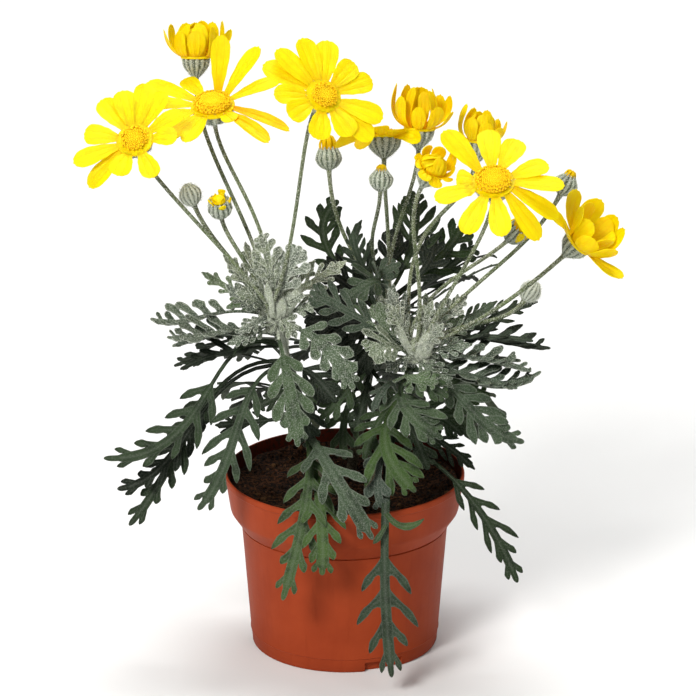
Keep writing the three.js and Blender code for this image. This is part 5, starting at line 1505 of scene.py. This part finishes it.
def add_hair(surface, root, out, side, length, thick):
    """One hair as a narrow bent ribbon."""
    bend = (out + side * 0.5).normalized()
    knee = root + out * (length * 0.5)
    spots = [root, knee, knee + bend * (length * 0.5)]
    across = out.cross(side)
    if across.length < 1e-4:
        return
    across = across.normalized() * (thick / 2)
    rows = [[surface.add(spot - across), surface.add(spot + across)] for spot in spots[:2]]
    tip = surface.add(spots[2])
    surface.join(rows)
    surface.faces.append((rows[1][0], rows[1][1], tip))


def make_wool(stem, green, paint, count):
    """Hairs on the woolly parts of a shoot."""
    rng = random.Random(41 + len(stem))
    wool = green.marks["wool"]
    faces, weights, felted, total = [], [], [], 0.0
    for face in green.faces:
        share = sum(wool[i] for i in face) / len(face)
        if share < 0.5:
            continue
        a, b, c = (green.points[i] for i in face[:3])
        total += (b - a).cross(c - a).length * (share - 0.4) ** 2
        faces.append(face)
        felted.append(share)
        weights.append(total)
    surface = Surface()
    for pick in rng.choices(range(len(faces)), cum_weights=weights, k=count):
        a, b, c = (green.points[i] for i in faces[pick][:3])
        normal = (b - a).cross(c - a)
        if normal.length < 1e-6:
            continue
        normal.normalize()
        root = a + (b - a) * rng.random() * 0.8 + (c - a) * rng.random() * 0.5
        loose = Vector((rng.gauss(0, 1), rng.gauss(0, 1), rng.gauss(0, 1)))
        out = (normal + loose * 0.45).normalized()
        length = rng.uniform(0.5, 1.3) + 1.4 * rng.random() * smooth((felted[pick] - 0.8) / 0.2)
        add_hair(surface, root, out, loose.normalized(), length, rng.uniform(0.07, 0.13))
    surface.piece("wool_" + stem, [], paint)


# Blooms

def ray_tip(head, toward, ray):
    """The tip of a ray from the middle of its head. Two numbers leave its depth to the bloom's plane."""
    if len(ray) == 3:
        return from_view(ray)
    right, up = ray
    seen = from_view((right, up, 0))
    depth = (RAY_LIFT - seen.dot(toward)) / VIEW_AWAY.dot(toward)
    most = math.sqrt(max(0, head["longest"] ** 2 - right ** 2 - up ** 2))
    return seen + VIEW_AWAY * clamp(depth, -most, most)


def add_ray(surface, curve, across, half, root_half, seed, curl=0.0, back=0.0):
    """A ray petal: narrow at its root, with two long furrows and a blunt, finely toothed end."""
    stops = [(0, root_half), (0.14, max(root_half * 1.1, 0.5 * half)), (0.42, 0.82 * half), (0.68, half),
             (0.84, 0.98 * half), (0.93, 0.9 * half), (0.975, 0.76 * half), (1, 0.6 * half)]
    columns = (-1, -0.88, -0.7, -0.5, -0.36, -0.2, 0, 0.2, 0.36, 0.5, 0.7, 0.88, 1)
    steps = 18
    tone = 0.5 + 0.5 * uneven(seed * 2.7)
    roll = 0.16 * uneven(seed * 1.9)
    spots, rows = [], []
    for i in range(steps + 1):
        share = 1 - (1 - i / steps) ** 1.4
        row = []
        for u in columns:
            end = 1 - 0.06 * u * u + 0.01 * math.cos(3 * math.pi * u)
            s = share * end
            along = curve.tangent(s)
            normal = along.cross(across).normalized()
            wide = along_line(stops, share)
            in_furrow = abs(abs(u) - FURROW_AT) < 0.01
            furrow = (0.34 + 0.3 * curl) * in_furrow * math.sin(math.pi * min(1, share * 1.05))
            cup = (0.32 + curl) * wide * (u * u) * (1 - 0.5 * share) * 0.5
            ripple = 0.25 * math.sin(7 * share + seed) * u * share
            off = cup - furrow + ripple + roll * u * wide * share
            sideways = wide * u * math.sqrt(max(0, 1 - (0.5 * curl * u) ** 2))
            point = curve.point(s) + across * sideways + normal * off
            thick = blend(RAY_MIDDLE_HALF, RAY_EDGE_HALF, max(u * u, share ** 4))
            marks = {"across": u, "along": share, "tone": tone, "back": back}
            row.append(len(spots))
            spots.append((point, normal, thick, marks))
        rows.append(row)
    add_blade(surface, spots, grid_faces(rows, flip=True))


RAY_MARKS = ("across", "along", "tone", "back")


def add_inner_rays(surface, head, index, middle, toward):
    """Young rays that still lean over the disc of a half-open head."""
    place = frame_of(middle, toward)
    count = head.get("inner", 0)
    for i in range(count):
        turn = 2 * math.pi * (i + 0.3 * uneven(index + i * 1.7)) / count
        flat = Vector((math.cos(turn), math.sin(turn), 0))
        tall = head["inner_tall"] * (1 + 0.12 * uneven(index * 7 + i))
        lean = head["inner_lean"] * (1 + 0.5 * uneven(index * 5 + i * 2.3))
        root = flat * (head["disc"] + RAY_ROOT_OUT) + UP * (HUB_THICK + 0.2)
        pull = flat * (head["disc"] + 4) + UP * (tall * 0.55)
        end = flat * (head["disc"] + 1 - lean) + UP * tall
        across = place.to_3x3() @ Vector((-flat.y, flat.x, 0))
        curve = Bend(place @ root, place @ pull, place @ end)
        add_ray(surface, curve, -across, head["width"] * 0.42, RAY_ROOT_HALF, index * 20 + i + 60,
                curl=-0.3, back=head.get("warm", 0.0))


def make_rays(head, index, paint):
    middle, toward, hub = head_facts(head)
    surface = Surface(*RAY_MARKS)
    profile = [(0.5, 0), (hub - 0.2, 0), (hub, 0.5), (hub - 0.2, HUB_THICK), (0.5, HUB_THICK)]
    add_turned(surface, profile, 40, frame_of(middle, toward),
               marks=lambda share, wave: {"along": 0.3, "tone": 0.5})
    for i, ray in enumerate(head["rays"]):
        seed = index * 20 + i
        tip = ray_tip(head, toward, ray)
        flat = (tip - toward * tip.dot(toward)).normalized()
        root = middle + flat * (head["disc"] + RAY_ROOT_OUT) + toward * (HUB_THICK / 2)
        level = RAY_STEP if seed % 2 == 0 else -RAY_STEP
        end = middle + tip + toward * level
        lift = 0.12 * tip.dot(toward) + RAY_ARCH + level
        bowed = root + flat * (0.5 * (end - root).length) + toward * lift
        pull = (root.lerp(end, 0.5) + toward * RAY_ARCH).lerp(bowed, head["cupped"])
        across = toward.cross(flat).normalized()
        leaning = head.get("leaning", {}).get(i, 0)
        across = Matrix.Rotation(math.radians(leaning), 3, flat) @ across
        half = head["width"] / 2 * (1 + 0.08 * uneven(seed))
        curl, back = 0.0, head.get("warm", 0.0)
        if i in head.get("turned", ()):
            curl, back = 0.9, TURNED_BACK
        elif leaning > 50:
            back = 0.0
        add_ray(surface, Bend(root, pull, end), across, half, RAY_ROOT_HALF, seed, curl=curl, back=back)
    add_inner_rays(surface, head, index, middle, toward)
    name = "rays_" + head["name"]
    surface.piece(name + "_yellow", [name], paint)


def disc_height(radius, out):
    """Height of the dome of florets over its foot, at a distance from its middle."""
    rise = radius * DISC_RISE
    return rise * along_line([(0, 0.93), (0.5, 1.0), (0.72, 0.86), (0.9, 0.62), (1.04, 0.35)], out / radius)


def add_floret(surface, place, radius, tall, ripe, top, petals):
    """A floret: a small bud, or an open star where petals is set."""
    rows = []
    if petals:
        sides, end, profile = 10, 0.7, [(0.6, 0), (0.8, 0.6), (1.45, 0.95), (0.4, 0.8)]
    else:
        sides, end, profile = 6, 1.05, [(0.75, 0), (1.0, 0.4), (0.95, 0.72), (0.55, 1.0)]
    for share, height in profile:
        row = []
        for k in range(sides):
            turn = 2 * math.pi * k / sides
            star = (1.0 if k % 2 == 0 else 0.55) if petals and share > 1.2 else 1.0
            out = radius * share * star
            spot = place @ Vector((out * math.cos(turn), out * math.sin(turn), tall * height))
            row.append(surface.add(spot, ripe=ripe, top=clamp(top * height)))
        rows.append(row)
    surface.join(rows, closed=True)
    surface.cap(rows[-1], surface.add(place @ Vector((0, 0, tall * end)), ripe=ripe, top=top))


def make_disc(head, index, paint):
    middle, toward, _ = head_facts(head)
    place = frame_of(middle, toward)
    radius = head["disc"] * head.get("small_disc", 1)
    low = HUB_THICK + DISC_GAP
    rng = random.Random(100 + index)
    surface = Surface("ripe", "top")
    profile = [(0.3, low), (radius, low)]
    for out in (1.02, 0.95, 0.8, 0.6, 0.4, 0.2, 0.03):
        profile.append((radius * out, low + disc_height(radius, radius * out) - 0.5))
    add_turned(surface, profile, 40, place, marks=lambda share, wave: {"ripe": 0.5, "top": 0.0})
    count = int(FLORETS * (radius / LARGEST_DISC) ** 2)
    for i in range(count):
        out = radius * 0.99 * math.sqrt((i + 0.5) / count)
        turn = i * GOLDEN_TURN
        slope = (disc_height(radius, out + 0.3) - disc_height(radius, out - 0.3)) / 0.6
        normal = Vector((-slope * math.cos(turn), -slope * math.sin(turn), 1)).normalized()
        spot = Vector((out * math.cos(turn), out * math.sin(turn), low + disc_height(radius, out) - 0.6))
        seat = place @ Matrix.Translation(spot) @ UP.rotation_difference(normal).to_matrix().to_4x4()
        edge = out / radius
        opened = edge > OPEN_FLORETS + 0.12 * rng.uniform(-1, 1)
        size = radius * 1.02 / math.sqrt(count) * rng.uniform(0.88, 1.08)
        tall = (1.0 if not opened else 1.6) * rng.uniform(0.85, 1.15)
        add_floret(surface, seat, size, tall, smooth(edge), 1.0, opened)
    name = "disc_" + head["name"]
    surface.piece(name + "_florets", [name], paint)


def make_tip(bud, index, paint):
    """Petal tips folded together in the mouth of an opening bud."""
    place = frame_of(Vector(bud["at"]), from_view(bud["toward"]).normalized())
    mouth = bud["radius"] * (0.2 + 0.55 * bud["spread"])
    low = BUD_HEIGHT * BUD_CUT + DISC_GAP
    tall = 1.4 + 3 * bud["spread"] + bud.get("taller", 0)
    splay = bud.get("splay", 0)
    surface = Surface(*RAY_MARKS)
    stops = [(0.2, low - 1), (mouth * 0.75, low - 0.6), (mouth * 0.6, low + tall * 0.55),
             (0.2, low + tall * 0.7)]
    core = eased_profile(stops, 8)
    add_turned(surface, core, 20, place, marks=lambda share, wave: {"back": 2.0, "tone": 0.5, "along": 0.6})
    rings = [(5, 0.85, 1.0), (4, 0.42, 0.75)] if splay else [(9, 0.95, 1.0), (6, 0.62, 0.92)]
    for ring, (count, out, reach) in enumerate(rings):
        for k in range(count):
            turn = 2 * math.pi * (k + 0.5 * ring) / count
            flat = Vector((math.cos(turn), math.sin(turn), 0))
            bend = 1 + 0.12 * uneven(index * 30 + ring * 10 + k)
            hanging = splay and k % 2 == 0 and ring == 0
            rise = tall * reach * bend * (-bud["droop"] if hanging else 1) * 0.98
            root = flat * (mouth * out * 0.9) + UP * (low - 2.2)
            pull = flat * (mouth * out * 1.55 * bend) + UP * (low + tall * 0.55)
            end = flat * (mouth * out * blend(0.42, 1.5, splay)) + UP * (low + rise)
            curve = Bend(place @ root, place @ pull, place @ end)
            across = place.to_3x3() @ Vector((-flat.y, flat.x, 0))
            half = 2.6 * mouth * out / count
            add_ray(surface, curve, -across, half, half * 0.8, index * 30 + ring * 10 + k, curl=-0.2,
                    back=bud.get("warm", 2.6))
    name = "tip_" + bud["name"]
    surface.piece(name + "_petals", [name], paint)


# Stage

def make_floor():
    mesh = bpy.data.meshes.new("studio_floor")
    half, steps = FLOOR_SIZE / 2, 6
    lines = [blend(-half, half, i / steps) for i in range(steps + 1)]
    points = [(x, y, 0) for x in lines for y in lines]
    faces = []
    for i in range(steps):
        for k in range(steps):
            a = i * (steps + 1) + k
            faces.append((a, a + steps + 1, a + steps + 2, a + 1))
    mesh.from_pydata(points, [], faces)
    mesh.materials.append(floor_paint())
    made = bpy.data.objects.new("studio_floor", mesh)
    bpy.context.scene.collection.objects.link(made)


def add_light(name, at, target, size, power, warmth):
    lamp = bpy.data.lights.new(name, "AREA")
    lamp.shape = "DISK"
    lamp.size = size
    lamp.energy = power
    lamp.color = warmth
    made = bpy.data.objects.new(name, lamp)
    made.location = at
    made.rotation_euler = (Vector(target) - Vector(at)).to_track_quat("-Z", "Y").to_euler()
    bpy.context.scene.collection.objects.link(made)


def make_lights():
    for name, at, size, power, warmth in LIGHTS:
        add_light(name, at, LIT_POINT, size, power, warmth)
    world = bpy.data.worlds.new("studio")
    world.use_nodes = True
    world.node_tree.nodes["Background"].inputs["Color"].default_value = (1, 1, 1, 1)
    world.node_tree.nodes["Background"].inputs["Strength"].default_value = WORLD_LIGHT
    bpy.context.scene.world = world


def make_camera():
    data = bpy.data.cameras.new("camera")
    data.lens = CAMERA_LENS
    data.sensor_width = CAMERA_SENSOR
    data.clip_end = 50
    camera = bpy.data.objects.new("camera", data)
    target = Vector(CAMERA_TARGET)
    camera.location = target - VIEW_AWAY * CAMERA_DISTANCE
    camera.rotation_euler = VIEW_AWAY.to_track_quat("-Z", "Y").to_euler()
    bpy.context.scene.collection.objects.link(camera)
    bpy.context.scene.camera = camera


# Assembly

make_camera()
make_floor()
make_lights()
bpy.context.scene.view_settings.view_transform = "Standard"

make_pot()
make_soil()
green_paint, hair_paint = leaf_paint(), wool_paint()
for stem_name, hair_count in HAIRS.items():
    make_wool(stem_name, make_shoot(stem_name, green_paint), hair_paint, hair_count)
yellow_paint, golden_paint = petal_paint(), disc_paint()
for number, bloom in enumerate(HEADS):
    make_rays(bloom, number, yellow_paint)
    make_disc(bloom, number, golden_paint)
for number, opening in enumerate(BUDS):
    if opening["spread"] > 0:
        make_tip(opening, number, yellow_paint)
